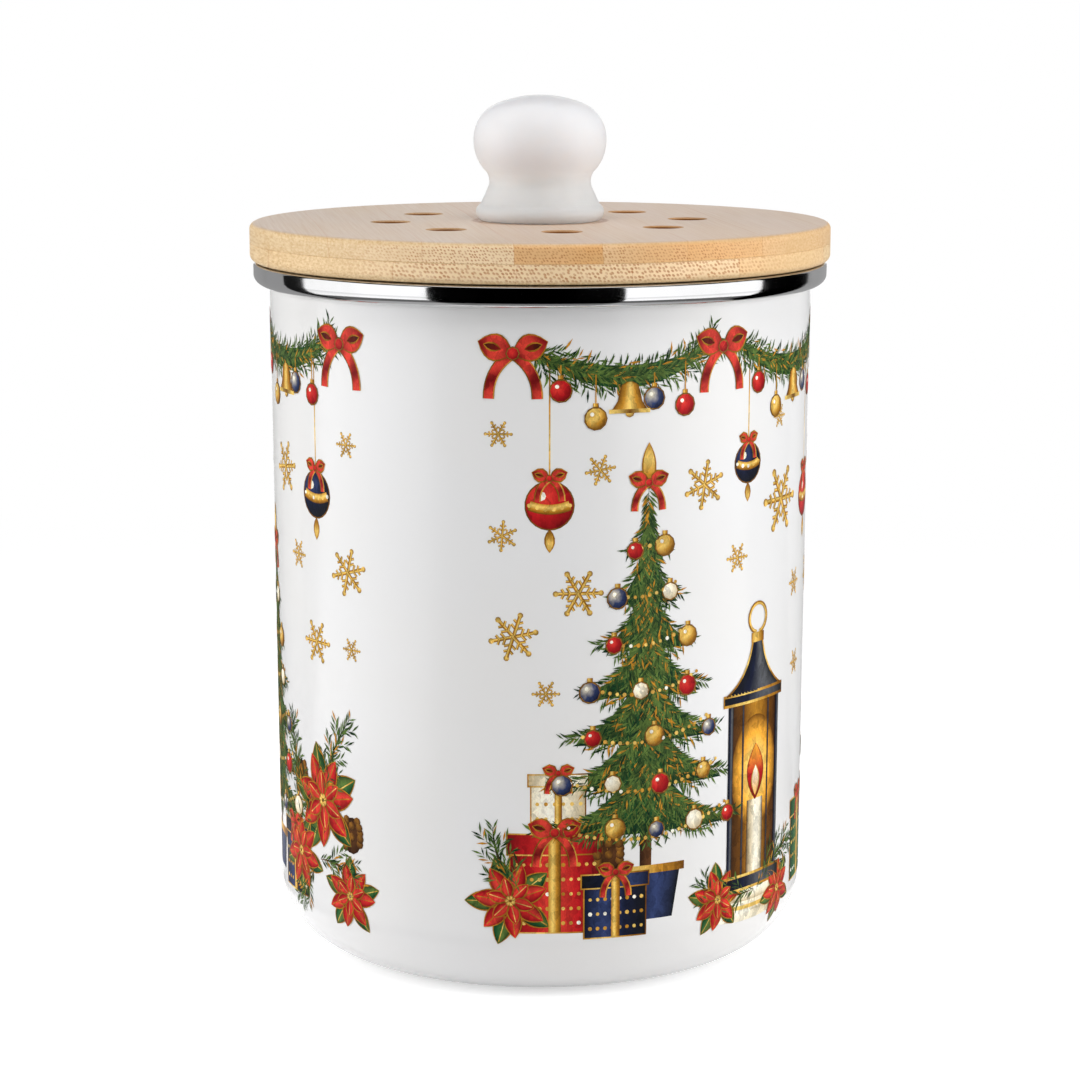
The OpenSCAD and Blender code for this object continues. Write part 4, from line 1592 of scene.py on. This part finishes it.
    def swag(self, start: Point, end: Point, sag: float, layer: int) -> None:
        """Adds a hanging garland of fir with baubles and a bell.

        Args:
            start, end: where it hangs.
            sag: its sag, as a share of its length.
            layer: its layer.
        """
        spine = bent(start, end, -sag, 2.4)
        self.stroke(spine, spindle(len(spine), 6.0), layer, along(Paint.DEEP_GREEN, Paint.GREEN))
        for i, spot in enumerate(spine[1:-3]):
            ahead = spine[i + 2] - spot
            for side in (-1.0, 0.0, 1.0):
                across_spine = np.array([-ahead[1], ahead[0]]) * side * (1.2 + 0.4 * (i % 2))
                out = spot + ahead * 2.6 + across_spine
                self.twigs.append((bent(tuple(spot), tuple(out), -0.1 * side), layer + 1))
        globes = (RUBY, GILT, MOONLIT)
        for k, share in enumerate((0.2, 0.35, 0.65, 0.8)):
            u, v = spine[round(share * (len(spine) - 1))]
            drop = 7.0 + 5.0 * (k % 2)
            self.stroke(route((u, v), (u, v - drop + 3)), 0.35, layer + 7, along(Paint.GOLD))
            self.bauble((u, v - drop), 2.9, layer + 7, *globes[k % 3])
        middle = spine[len(spine) // 2]
        self.bell((middle[0], middle[1] - 1.5), 8.0, layer + 8)

    def sprig(self, base: Point, tip: Point, layer: int) -> None:
        """Adds a fir sprig with side twigs.

        Args:
            base: where it starts.
            tip: where it ends.
            layer: its layer.
        """
        spine = bent(base, tip, 0.1, 3.0)
        self.stroke(spine, spindle(len(spine), 0.7), layer, along(Paint.BROWN, Paint.DEEP_GREEN))
        self.twigs.append((spine, layer + 1))
        for i in range(1, len(spine) - 2):
            ahead = (spine[i + 1] - spine[i]) * (1.9 - i / len(spine))
            out = spine[i] + ahead * 1.2 + np.array([-ahead[1], ahead[0]]) * (-1) ** i
            self.twigs.append((bent(tuple(spine[i]), tuple(out), 0.1), layer + 1))


@dataclass(frozen=True)
class Spot:
    """A place on the panel for a repeated motif, with its scale and its turn in degrees."""

    u: float
    v: float
    size: float = 1.0
    turn: float = 0.0


def marks(name: str, spots: Sequence[Spot], layer: int) -> Piece:
    """Loose points that carry the spots' sizes and turns.

    Args:
        name: the object's name.
        spots: the places.
        layer: how many layers up they lie.
    Returns:
        The object.
    """
    made = add_mesh(name, [(spot.u * MM, spot.v * MM, layer * INK_STEP * MM) for spot in spots], [])
    carried = {"size": [spot.size for spot in spots],
               "turn": [math.radians(spot.turn) for spot in spots]}
    for label, values in carried.items():
        made.data.attributes.new(label, "FLOAT", "POINT").data.foreach_set("value", values)
    return made


def threads(name: str, paths: Sequence[Laid]) -> Piece:
    """Loose edges along paths, each at its own layer.

    Args:
        name: the object's name.
        paths: the paths with their layers.
    Returns:
        The object.
    """
    verts: list[tuple[float, float, float]] = []
    edges: list[tuple[int, int]] = []
    for path, layer in paths:
        edges += [(len(verts) + i, len(verts) + i + 1) for i in range(len(path) - 1)]
        verts += [(u * MM, v * MM, layer * INK_STEP * MM) for u, v in path]
    made = add_mesh(name, [], [])
    made.data.from_pydata(verts, edges, [])
    return made


@dataclass
class WinterPrint:
    """A generic winter scene, fired on to the canister twice. Millimetres on a flat panel."""

    wall: Canister
    first_azimuth: float = 65.0
    second_azimuth: float = -115.0
    garland_v: float = 160.0

    def build(self) -> list[Piece]:
        """Draws the flat panel's parts and lays them round the wall.

        Returns:
            The parts, on the wall.
        """
        ink = Ink().make("fired_ink")
        drawn = self._composition()
        parts = [drawn.build("print_motifs")]
        strew, whorl, wrap = strew_tree(ink), whorl_tree(ink), wrap_tree(ink)
        needles = [strew.apply(threads(name, twigs), Sides=4, Spacing=0.62 * MM, Width=0.62 * MM,
                               Length=3.6 * MM, Seed=5, Dark=Paint.DEEP_GREEN,
                               Light=Paint.PALE_GREEN, Accent=Paint.GOLD)
                   for name, twigs in self._by_piece(drawn.twigs).items()]
        beads = strew.apply(threads("print_beads", drawn.strings), Sides=8, Spacing=2.1 * MM,
                            Length=1.15 * MM, Width=1.15 * MM, Shift=0.0, Relief=0.001 * MM,
                            Least_Scale=0.85, Seed=9, Dark=Paint.GOLD, Light=Paint.PALE_GOLD,
                            Accent=Paint.PALE_CREAM)
        parts += [*needles, beads, *self._whorls(whorl)]
        wall = self.wall
        for part in parts:
            wrap.apply(part, Wall_Radius=wall.wall_r * MM, Wall_Draft=wall.wall_draft * MM,
                       Corner_Radius=wall.corner_r * MM, Rim_Height=wall.curl[1] * MM,
                       First_Azimuth=math.radians(self.first_azimuth),
                       Second_Azimuth=math.radians(self.second_azimuth))
        return parts

    def _by_piece(self, twigs: Sequence[Laid]) -> dict[str, list[Laid]]:
        """The twigs of the garlands, of the left fir and of the right fir, each a piece of its own.

        Args:
            twigs: all the twigs.
        Returns:
            The twigs by the piece's name.
        """
        pieces: dict[str, list[Laid]] = {}
        for path, layer in twigs:
            u, v = path[0]
            fir = "print_left_fir" if u < 0 else "print_right_fir"
            name = "print_garland" if v > self.garland_v else fir
            pieces.setdefault(name, []).append((path, layer))
        return pieces

    def _composition(self) -> Motifs:
        """The scene, from left to right.

        Returns:
            The drawing, with its twigs and strings.
        """
        art = Motifs()
        red = (*RUBY, Paint.RED, Paint.DEEP_RED)
        navy, cream = (*MIDNIGHT, Paint.NAVY), (*PEARL, Paint.CREAM)
        green = (Paint.DEEP_GREEN, Paint.GREEN, Paint.PALE_GREEN, Paint.GREEN, Paint.DEEP_GREEN)
        for left, right in ((-96, -36), (-34, 34), (36, 96)):
            art.swag((left, 187), (right, 187), 0.16, 1)
        for u in (-97, -35, 35, 97):
            art.bow((u, 184), 9.5, 7)
        art.pendant((-87, 181), 32, 6.5, 1, *RUBY)
        art.pendant((-24, 181), 25, 5.5, 1, *MIDNIGHT)
        art.pendant((16, 179), 36, 6.5, 1, *RUBY)
        art.pendant((85, 181), 34, 6.5, 1, *MIDNIGHT)
        art.fir((-59, 24), 124, 66, 7, 1)
        art.fir((48, 24), 98, 52, 6, 1)
        art.plinth((-18, 26), 36, 1)
        art.lantern((-18, 27), 25, 90, 4)
        for base, tip in (
            ((-18, 26), (-42, 32)), ((-16, 26), (8, 36)), ((84, 40), (66, 74)), ((86, 42), (99, 78)),
            ((84, 34), (103, 30)), ((80, 30), (68, 20)), ((-94, 32), (-103, 52)),
        ):
            art.sprig(base, tip, 5)
        art.gift((-98, 22), 25, 28, 3, *red)
        art.gift((-92, 52), 15, 15, 3, *cream)
        art.gift((-77, 20), 18, 18, 6, *navy)
        art.gift((8, 22), 19, 24, 4, *green)
        art.gift((58, 21), 18, 20, 4, *navy)
        for centre in ((99, 44), (73, 56), (-70, 44)):
            art.cone(centre, 8.0, 4)
        return art

    def _whorls(self, whorl: GeometryTree) -> list[Piece]:
        """The snowflakes and the flowers.

        Args:
            whorl: the tree that sets rings.
        Returns:
            The parts, still flat.
        """
        flakes = [Spot(-73, 152, 0.5, 10), Spot(-100, 134, 0.5, 25), Spot(-79, 118, 0.8),
                  Spot(-41, 146, 0.8, 20), Spot(-6, 138, 1.15), Spot(-97, 106, 0.8, 12),
                  Spot(33, 148, 0.85, 30), Spot(65, 146, 0.9, 8), Spot(99, 120, 0.8, 15),
                  Spot(84, 98, 0.75), Spot(-101, 162, 0.45), Spot(-88, 90, 0.45), Spot(-8, 162, 0.4),
                  Spot(99, 156, 0.45), Spot(74, 122, 0.5), Spot(-28, 124, 0.5), Spot(6, 112, 0.5),
                  Spot(100, 98, 0.4), Spot(26, 112, 0.7, 10), Spot(8, 88, 0.45)]
        blooms = [Spot(86, 52, 1.0, 12), Spot(72, 34, 0.8, 40), Spot(-98, 31, 0.78, 20),
                  Spot(-34, 26, 0.66, 5), Spot(-4, 23, 0.62, 30), Spot(98, 26, 0.7)]
        arm, leaf, outer, inner, eye = (Motifs() for _ in range(5))
        facet = across(Paint.DEEP_GOLD, Paint.PALE_GOLD, Paint.GOLD, Paint.DEEP_GOLD)
        arm.stroke(route((0.0, 0.0), (7.5, 0.0)), 1.3, 0, facet)
        for reach, length in ((2.8, 2.1), (4.9, 1.7)):
            for side in (-1.0, 1.0):
                arm.stroke(route((reach, 0.0), (reach + length * 0.6, side * length)), 0.95, 0, facet)
        arm.disc((7.9, 0.0), 1.05, 0, ball(*GILT))
        foliage = across(Paint.DEEP_GREEN, Paint.GREEN, Paint.PALE_GREEN, Paint.DEEP_GREEN)
        for drawn, start, tip, bulge, shade, vein_tip, vein_w, vein in (
            (leaf, 2.0, 17.0, 0.24, foliage, 16.0, 0.35, along(*GILT)),
            (outer, 0.5, 14.0, 0.24, across(*RUBY, Paint.DEEP_RED), 12.5, 0.3,
             along(Paint.DEEP_RED, Paint.GOLD)),
            (inner, 0.3, 9.0, 0.26, across(*RUBY, Paint.RED), 8.0, 0.3,
             along(Paint.DEEP_RED, Paint.PALE_GOLD)),
        ):
            drawn.petal((start, 0.0), (tip, 0.0), bulge, 0, shade)
            drawn.stroke(route((start, 0.0), (vein_tip, 0.0)), vein_w, 1, vein)
        eye.disc((1.3, 0.0), 0.8, 0, ball(*GILT))
        return [self._ring(whorl, *one) for one in (
            ("print_snowflakes", arm, 6, flakes, 1, 0.0), ("print_leaves", leaf, 5, blooms, 5, 18.0),
            ("print_outer_petals", outer, 7, blooms, 8, 0.0),
            ("print_inner_petals", inner, 6, blooms, 11, 24.0),
            ("print_flower_eyes", eye, 7, blooms, 14, 0.0),
        )]

    @staticmethod
    def _ring(whorl: GeometryTree, name: str, drawn: Motifs, count: int, spots: Sequence[Spot],
              layer: int, turn: float) -> Piece:
        """Sets one drawn petal in a ring on every spot.

        Args:
            whorl: the tree that sets rings.
            name: the piece's name.
            drawn: the petal or arm, which points east.
            count: how many go round.
            spots: where the rings are.
            layer: how many layers up they lie.
            turn: degrees that each ring is turned by, on top of its spot's turn.
        Returns:
            The rings, still flat.
        """
        petal = drawn.build("petal")
        points = marks(name, [Spot(s.u, s.v, s.size, s.turn + turn) for s in spots], layer)
        whorl.apply(points, Petal=petal, Count=count, Lift=INK_STEP * MM * 0.5)
        bpy.data.objects.remove(petal)
        return points

    def finish(self, parts: list[Piece]) -> None:
        """Places the parts on the canister."""
        for part in parts:
            place(part, Body.CANISTER, "enamel")


# ---------------- lid


@dataclass
class Lid:
    """The three bamboo boards, grooved for the seal and drilled for the knob's screw; the seal and
    the knob are made apart. Sizes in millimetres.
    """

    top_edge_r: float = 1.8
    bottom_edge_r: float = 2.2
    glue_ease: float = 0.12
    vent_count: int = 8
    vent_circle_r: float = 43.8
    vent_r: float = 5.5
    vent_bevel: float = 0.4
    burr_bevel: float = 0.05
    screw_hole_r: float = 2.25
    plug_r: float = 75.0
    plug_bevel: float = 0.8
    groove_depth: float = 2.6
    groove_h: float = 4.4
    recess_r: float = 7.0
    recess_depth: float = 4.0
    turn_deg: float = 8.0
    radius: float = field(init=False)

    def __post_init__(self) -> None:
        """Takes the radius from the frame."""
        self.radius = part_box("lid_top_board")[1].x / MM

    def build(self) -> dict[str, Piece]:
        """Makes the boards.

        Returns:
            The boards by the names of their CAD nodes.
        """
        upper = Bamboo(turn_deg=self.turn_deg, dot_mm=0.85, seed=3.0)
        lower = Bamboo(turn_deg=self.turn_deg, dot_mm=1.1, dot_size=0.34, strip_mm=31.4,
                       strip_shift_mm=17.9, dark_strip=2, east_tone=0.2, seed=11.0,
                       long_light=(0.90, 0.70, 0.43), end_light=(0.98, 0.77, 0.50),
                       end_dark=(0.90, 0.58, 0.28))
        under = Bamboo(turn_deg=self.turn_deg, strip_shift_mm=15.0, dark_strip=1, seed=23.0)
        made: dict[str, Piece] = {}
        for node, shape, wood, bevel in (
            ("lid_top_board", self._top_board, upper, self.vent_bevel),
            ("lid_lower_board", self._lower_board, lower, self.burr_bevel),
            ("lid_plug", self._plug, under, self.burr_bevel),
        ):
            low, high = _heights(node)
            made[node] = self._drilled(shape(low, high), wood, low, high, bevel)
        return made

    def _top_board(self, low: float, high: float) -> Piece:
        """The upper board before drilling.

        Args:
            low, high: its heights.
        Returns:
            The board.
        """
        r, edge, ease = self.radius, self.top_edge_r, self.glue_ease
        outline = [(0.0, low), (r - 1.0, low), (r - ease, low), (r, low + ease), (r, low + 0.4)]
        outline += [(r, high - edge - 0.4)]
        outline += arc((r - edge, high - edge), edge, 0, 90, 12)
        outline += [(r - edge - 0.5, high), (0.0, high)]
        return turned("bamboo_top_board", outline)

    def _lower_board(self, low: float, high: float) -> Piece:
        """The lower board before drilling.

        Args:
            low, high: its heights.
        Returns:
            The board.
        """
        r, edge, ease = self.radius, self.bottom_edge_r, self.glue_ease
        outline = [(0.0, low), (r - edge - 0.5, low)]
        outline += arc((r - edge, low + edge), edge, -90, 0, 12)
        outline += [(r, high - 0.4), (r, high - ease), (r - ease, high), (r - 1.0, high), (0.0, high)]
        return turned("bamboo_lower_board", outline)

    def _plug(self, low: float, high: float) -> Piece:
        """The grooved plug before drilling, with the recess for the knob's screw.

        Args:
            low, high: its heights.
        Returns:
            The plug.
        """
        r, bevel = self.plug_r, self.plug_bevel
        groove_r = r - self.groove_depth
        groove_z = low + (high - low - self.groove_h) / 2
        recess = self.recess_depth
        outline = [(0.0, low + recess), (self.recess_r, low + recess), (self.recess_r, low)]
        outline += [(r - bevel, low), (r, low + bevel), (r, groove_z), (groove_r, groove_z)]
        outline += [(groove_r, groove_z + self.groove_h), (r, groove_z + self.groove_h)]
        outline += [(r, high), (0.0, high)]
        return turned("bamboo_plug", outline)

    def _drilled(self, board: Piece, wood: Bamboo, low: float, high: float,
                 bevel: float) -> Piece:
        """A board with its vents and the knob's screw hole.

        Args:
            board: the board.
            wood: its finish.
            low, high: its heights.
            bevel: how much the vents widen at the top.
        Returns:
            The drilled board.
        """
        material = wood.make(f"bamboo_{board.name}")
        tree = perforation_tree(f"drill_{board.name}", material)
        tree.apply(board, Count=self.vent_count, Circle_Radius=self.vent_circle_r * MM,
                   Hole_Radius=self.vent_r * MM, Low=low * MM, High=high * MM, Bevel=bevel * MM,
                   Turn=math.radians(self.turn_deg), Centre_Radius=self.screw_hole_r * MM)
        smooth(board)
        return board

    def finish(self, boards: dict[str, Piece]) -> None:
        """Places the boards."""
        for node, board in boards.items():
            place(board, Body.LID, "bamboo", node)


def _heights(node: str) -> tuple[float, float]:
    """Lowest and highest height of a CAD node in millimetres."""
    low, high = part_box(node)
    return low.z / MM, high.z / MM


@dataclass
class Seal:
    """The silicone ring with three drooping fins. Sizes in millimetres."""

    groove_r: float = 72.4
    fit: float = 0.05
    plug_r: float = 75.0
    fins: int = 3
    fin_t: float = 1.0
    droop: float = 0.5
    fin_r: float = 77.0

    def build(self) -> Piece:
        """Makes the ring.

        Returns:
            The ring.
        """
        low, high = _heights("seal_ring")
        pitch = (high - low) / self.fins
        root, inner = self.plug_r - self.fit, self.groove_r + self.fit
        outline = [(inner, low), (root, low)]
        for i in range(self.fins):
            z = low + (i + 0.5) * pitch
            tip = (self.fin_r - 0.12, z - self.droop + 0.08)
            outline += [(root, z - self.fin_t / 2 + 0.01), (self.fin_r - 0.1, z - self.droop - 0.04)]
            outline += [(self.fin_r, z - self.droop + 0.02), tip, (root, z + self.fin_t / 2 - 0.01)]
        outline += [(root, high), (inner, high)]
        return turned("silicone_seal", outline)

    def finish(self, ring: Piece) -> None:
        """Dresses and places the ring.

        Args:
            ring: the ring.
        """
        rubber = Moulded(colour=(0.72, 0.72, 0.70), pale=(0.80, 0.80, 0.78), roughness=0.42,
                         grain_mm=0.8)
        dress(ring, rubber.make("silicone"))
        place(ring, Body.LID, "silicone", "seal_ring")


@dataclass
class Knob:
    """The turned knob: beaded foot, waist, ball and flattened crown. Sizes in millimetres."""

    height: float = 36.4
    ball_r: float = 19.35
    ball_z: float = 23.8
    shoulder_r: float = 11.0
    under_r: float = 12.5
    under_drop: float = 0.7
    neck_r: float = 14.8
    neck_fillet: float = 4.5
    foot_r: float = 18.7
    bead_r: float = 2.6
    bead_a: float = 55.0
    hollow_r: float = 1.0
    hole_r: float = 3.55
    hole_depth: float = 13.5

    def build(self) -> Piece:
        """Makes the knob above the lid.

        Returns:
            The knob.
        """
        bead_x, lean = self.foot_r - self.bead_r, math.radians(self.bead_a)
        apart = self.bead_r + self.hollow_r
        hollow = (bead_x + apart * math.cos(lean), self.bead_r + apart * math.sin(lean))
        under = (self.ball_r - self.under_r, self.ball_z - self.under_drop)
        neck_x = self.neck_r + self.neck_fillet
        reach = self.under_r + self.neck_fillet
        neck = (neck_x, under[1] - math.sqrt(reach**2 - (neck_x - under[0]) ** 2))
        under_a = math.degrees(math.atan2(neck[1] - under[1], neck[0] - under[0]))
        flank = (neck[0] - hollow[0], neck[1] - hollow[1])
        slack = math.acos((self.neck_fillet - self.hollow_r) / math.hypot(*flank))
        flank_a = 180 + math.degrees(math.atan2(flank[1], flank[0]) - slack)
        side_x, rise = self.ball_r - self.shoulder_r, self.height - self.ball_z
        crown_r = (side_x**2 + rise**2 - self.shoulder_r**2) / (2 * (rise - self.shoulder_r))
        crown_z = self.height - crown_r
        crown_a = math.degrees(math.atan2(self.ball_z - crown_z, side_x))
        outline = [(0.0, self.hole_depth), (self.hole_r, self.hole_depth), (self.hole_r, 0.0)]
        outline += arc((bead_x, self.bead_r), self.bead_r, -90, self.bead_a, 18)
        outline += arc(hollow, self.hollow_r, 180 + self.bead_a, flank_a, 8)
        outline += arc(neck, self.neck_fillet, flank_a, 180 + under_a, 16)
        outline += arc(under, self.under_r, under_a, 0, 24)
        outline += arc((side_x, self.ball_z), self.shoulder_r, 0, crown_a, 24)
        outline += arc((0.0, crown_z), crown_r, crown_a, 90, 16)[:-1] + [(0.0, self.height)]
        lift = _heights("knob")[0]
        return turned("white_knob", [(radius, height + lift) for radius, height in outline], 192)

    def finish(self, knob: Piece) -> None:
        """Dresses and places the knob."""
        dress(knob, Glaze().make("white_glaze"))
        place(knob, Body.LID, "knob_glaze", "knob")


@dataclass
class FilterUnit:
    """The holder, the twist-out cover, the felt and the screws, which keep their CAD forms."""

    def finish(self) -> None:
        """Gives each CAD node its finish."""
        plastic = Moulded().make("black_plastic")
        zinc = TurnedMetal().make("zinc_plate")
        brass = TurnedMetal(tint=(0.78, 0.60, 0.30), roughness=0.26).make("turned_brass")
        felt = Felt().make("charcoal_felt")
        finishes = {
            "filter_holder": plastic, "filter_cover": plastic, "carbon_filter": felt,
            "holder_screws": zinc, "knob_screw": zinc, "knob_washer": zinc, "knob_insert": brass,
        }
        for node, material in finishes.items():
            dress(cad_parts[node], material)
            LOG.info("%s keeps its own form", node)


# ---------------- studio


CARD_Z = 1.5
LOW_CARD: Sequence[Point] = ((1000.0, 600.0), (1000.0, CARD_Z))
HIGH_CARD: Sequence[Point] = ((1000.0, 1250.0), (1000.0, 600.0))
BENT_CARD: Sequence[Point] = ((1000.0, 1250.0), (1000.0, CARD_Z), (190.0, CARD_Z))
FLOOR_CARD: Sequence[Point] = ((320.0, CARD_Z), (190.0, CARD_Z))
NEAR_CARD: Sequence[Point] = ((190.0, CARD_Z), (95.0, CARD_Z))


@dataclass(frozen=True)
class Softbox:
    """A lamp that faces the caddy. The gloss sees the cards in its place.

    Its azimuth is in degrees to the right of the camera, its distance from the axis and its middle's
    height in millimetres, its width and height in metres, and its power in watts.
    """

    name: str
    azimuth: float
    distance: float
    height: float
    size: tuple[float, float]
    watts: float


@dataclass(frozen=True)
class Card:
    """A bent card that only the gloss sees.

    It runs between two azimuths in degrees, shines as bright as its shade, and has rows at a radius
    and a height in millimetres, from the top down.
    """

    name: str
    start: float
    end: float
    shade: float
    rows: Sequence[Point]


SOFTBOXES = (
    Softbox("softbox_left", -86, 1200, 380, (1.3, 0.74), 11.8),
    Softbox("softbox_right", 80, 1200, 380, (1.3, 0.74), 12.0),
    Softbox("softbox_above", 0, 480, 1250, (0.8, 0.8), 8.6),
)
CARDS = (
    Card("dark_front", -43, 32, 0.0, BENT_CARD), Card("near_front", -43, 32, 0.22, NEAR_CARD),
    Card("bright_right", 32, 94, 1.3, LOW_CARD), Card("floor_right", 32, 94, 0.15, FLOOR_CARD),
    Card("near_right", 32, 129, 0.45, NEAR_CARD), Card("dark_right", 94, 129, 0.0, BENT_CARD),
    Card("grey_right", 129, 164, 0.38, BENT_CARD), Card("bright_left", -103, -43, 1.3, LOW_CARD),
    Card("floor_left", -103, -43, 0.15, FLOOR_CARD), Card("near_left", -118, -43, 0.45, NEAR_CARD),
    Card("dark_left", -118, -103, 0.01, BENT_CARD), Card("grey_left", -164, -118, 0.33, BENT_CARD),
    Card("dark_above", -180, 180, 0.0, HIGH_CARD),
)


@dataclass
class Studio:
    """The floor, the lamps and the camera that repeat the photograph's setting.

    Lengths in fields whose names don't say otherwise are in millimetres.
    """

    camera_distance: float = 916.8
    camera_height: float = 281.0
    pitch_deg: float = 10.01
    focal_px: float = 3130.5
    image_px: float = 1080.0
    sensor_mm: float = 36.0
    ambient: float = 0.125
    floor_half_m: float = 3.0
    floor_shade: float = 0.8
    floor_glow: float = 0.55
    fade_start_m: float = 0.25
    fade_end_m: float = 0.8
    lamp_aim_z: float = 130.0
    card_steps: int = 24

    def build(self) -> None:
        """Makes the setting."""
        self._camera()
        self._world()
        self._floor()
        for box in SOFTBOXES:
            self._lamp(box)
        for card in CARDS:
            self._card(card)

    def _camera(self) -> None:
        """The camera at the photograph's place."""
        data = bpy.data.cameras.new("camera")
        data.sensor_width = self.sensor_mm
        data.lens = self.sensor_mm * self.focal_px / self.image_px
        made = bpy.data.objects.new("camera", data)
        bpy.context.scene.collection.objects.link(made)
        made.location = (0.0, -self.camera_distance * MM, self.camera_height * MM)
        made.rotation_euler = (math.radians(90 - self.pitch_deg), 0.0, 0.0)
        bpy.context.scene.camera = made

    def _world(self) -> None:
        """White where the camera and the gloss look, softer as light."""
        world = bpy.data.worlds.new("studio")
        world.use_nodes = True
        world.node_tree.nodes.clear()
        g = Graph(world.node_tree)
        strength = g.rays("Camera", "Glossy", "Transmission") * (1 - self.ambient) + self.ambient
        sky = g.node("ShaderNodeBackground", {"Color": (1, 1, 1, 1), "Strength": strength})
        g.end("ShaderNodeOutputWorld", sky[0])
        bpy.context.scene.world = world

    def _floor(self) -> None:
        """A pale floor that shows white and keeps the caddy's shadow. It is clear from below."""
        half = self.floor_half_m
        corners = [(-half, -half, 0.0), (half, -half, 0.0), (half, half, 0.0), (-half, half, 0.0)]
        floor = add_mesh("floor", corners, [(0, 1, 2, 3)])
        material, g = blank_material("pale_floor")
        seen = g.rays("Camera", "Glossy")
        matt = g.node("ShaderNodeBsdfDiffuse", {"Color": (self.floor_shade,) * 3})
        glow = g.node("ShaderNodeEmission",
                      {"Color": (1, 1, 1, 1), "Strength": seen * self.floor_glow})
        near = g.node("ShaderNodeAddShader", {0: matt[0], 1: glow[0]})
        far = g.node("ShaderNodeEmission", {"Color": (1, 1, 1, 1), "Strength": 1.0})
        x, y, _ = g.split(g.node("ShaderNodeTexCoord")["Object"])
        away = ((x * x + y * y) ** 0.5).smooth(self.fade_start_m, self.fade_end_m) * seen
        faded = g.node("ShaderNodeMixShader", {0: away, 1: near[0], 2: far[0]})
        from_below = g.node("ShaderNodeNewGeometry")["Backfacing"] * g.rays("Camera")
        clear = g.node("ShaderNodeBsdfTransparent")
        shown = g.node("ShaderNodeMixShader", {0: from_below, 1: faded[0], 2: clear[0]})
        g.end("ShaderNodeOutputMaterial", shown[0])
        dress(floor, material)

    def _lamp(self, box: Softbox) -> None:
        """Hangs a softbox and aims it at the caddy.

        Args:
            box: the softbox.
        """
        data = bpy.data.lights.new(box.name, "AREA")
        data.shape = "RECTANGLE"
        data.size, data.size_y = box.size
        data.energy = box.watts
        lamp = bpy.data.objects.new(box.name, data)
        bpy.context.scene.collection.objects.link(lamp)
        a, reach = math.radians(box.azimuth), box.distance * MM
        lamp.location = (reach * math.sin(a), -reach * math.cos(a), box.height * MM)
        aim = Vector((0.0, 0.0, self.lamp_aim_z * MM)) - lamp.location
        lamp.rotation_euler = aim.to_track_quat("-Z", "Y").to_euler()
        lamp.visible_camera = False
        lamp.visible_glossy = False

    def _card(self, card: Card) -> None:
        """Bends a card round the caddy and hides it from all but the gloss.

        Args:
            card: the card.
        """
        angles = np.radians(np.linspace(card.start, card.end, self.card_steps + 1))
        verts = [(r * math.sin(a) * MM, -r * math.cos(a) * MM, z * MM)
                 for a in angles for r, z in card.rows]
        n = len(card.rows)
        faces = [(i * n + k, i * n + k + 1, (i + 1) * n + k + 1, (i + 1) * n + k)
                 for i in range(self.card_steps) for k in range(n - 1)]
        made = add_mesh(card.name, verts, faces)
        material, g = blank_material(card.name)
        paint = g.node("ShaderNodeEmission", {"Color": (1, 1, 1), "Strength": card.shade})
        g.end("ShaderNodeOutputMaterial", paint[0])
        dress(made, material)
        for ray in ("camera", "diffuse", "shadow", "transmission"):
            setattr(made, f"visible_{ray}", False)


# ---------------- main


def main() -> None:
    """Builds the caddy and its setting."""
    logging.basicConfig(level=logging.INFO, format="%(name)s: %(message)s")
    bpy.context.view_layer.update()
    scene = bpy.context.scene
    scene.view_settings.view_transform = "Standard"
    Studio().build()
    canister = Canister()
    for part in (canister, Lid(), Seal(), Knob(), WinterPrint(canister)):
        part.finish(part.build())
    FilterUnit().finish()


if __name__ == "__main__":
    main()
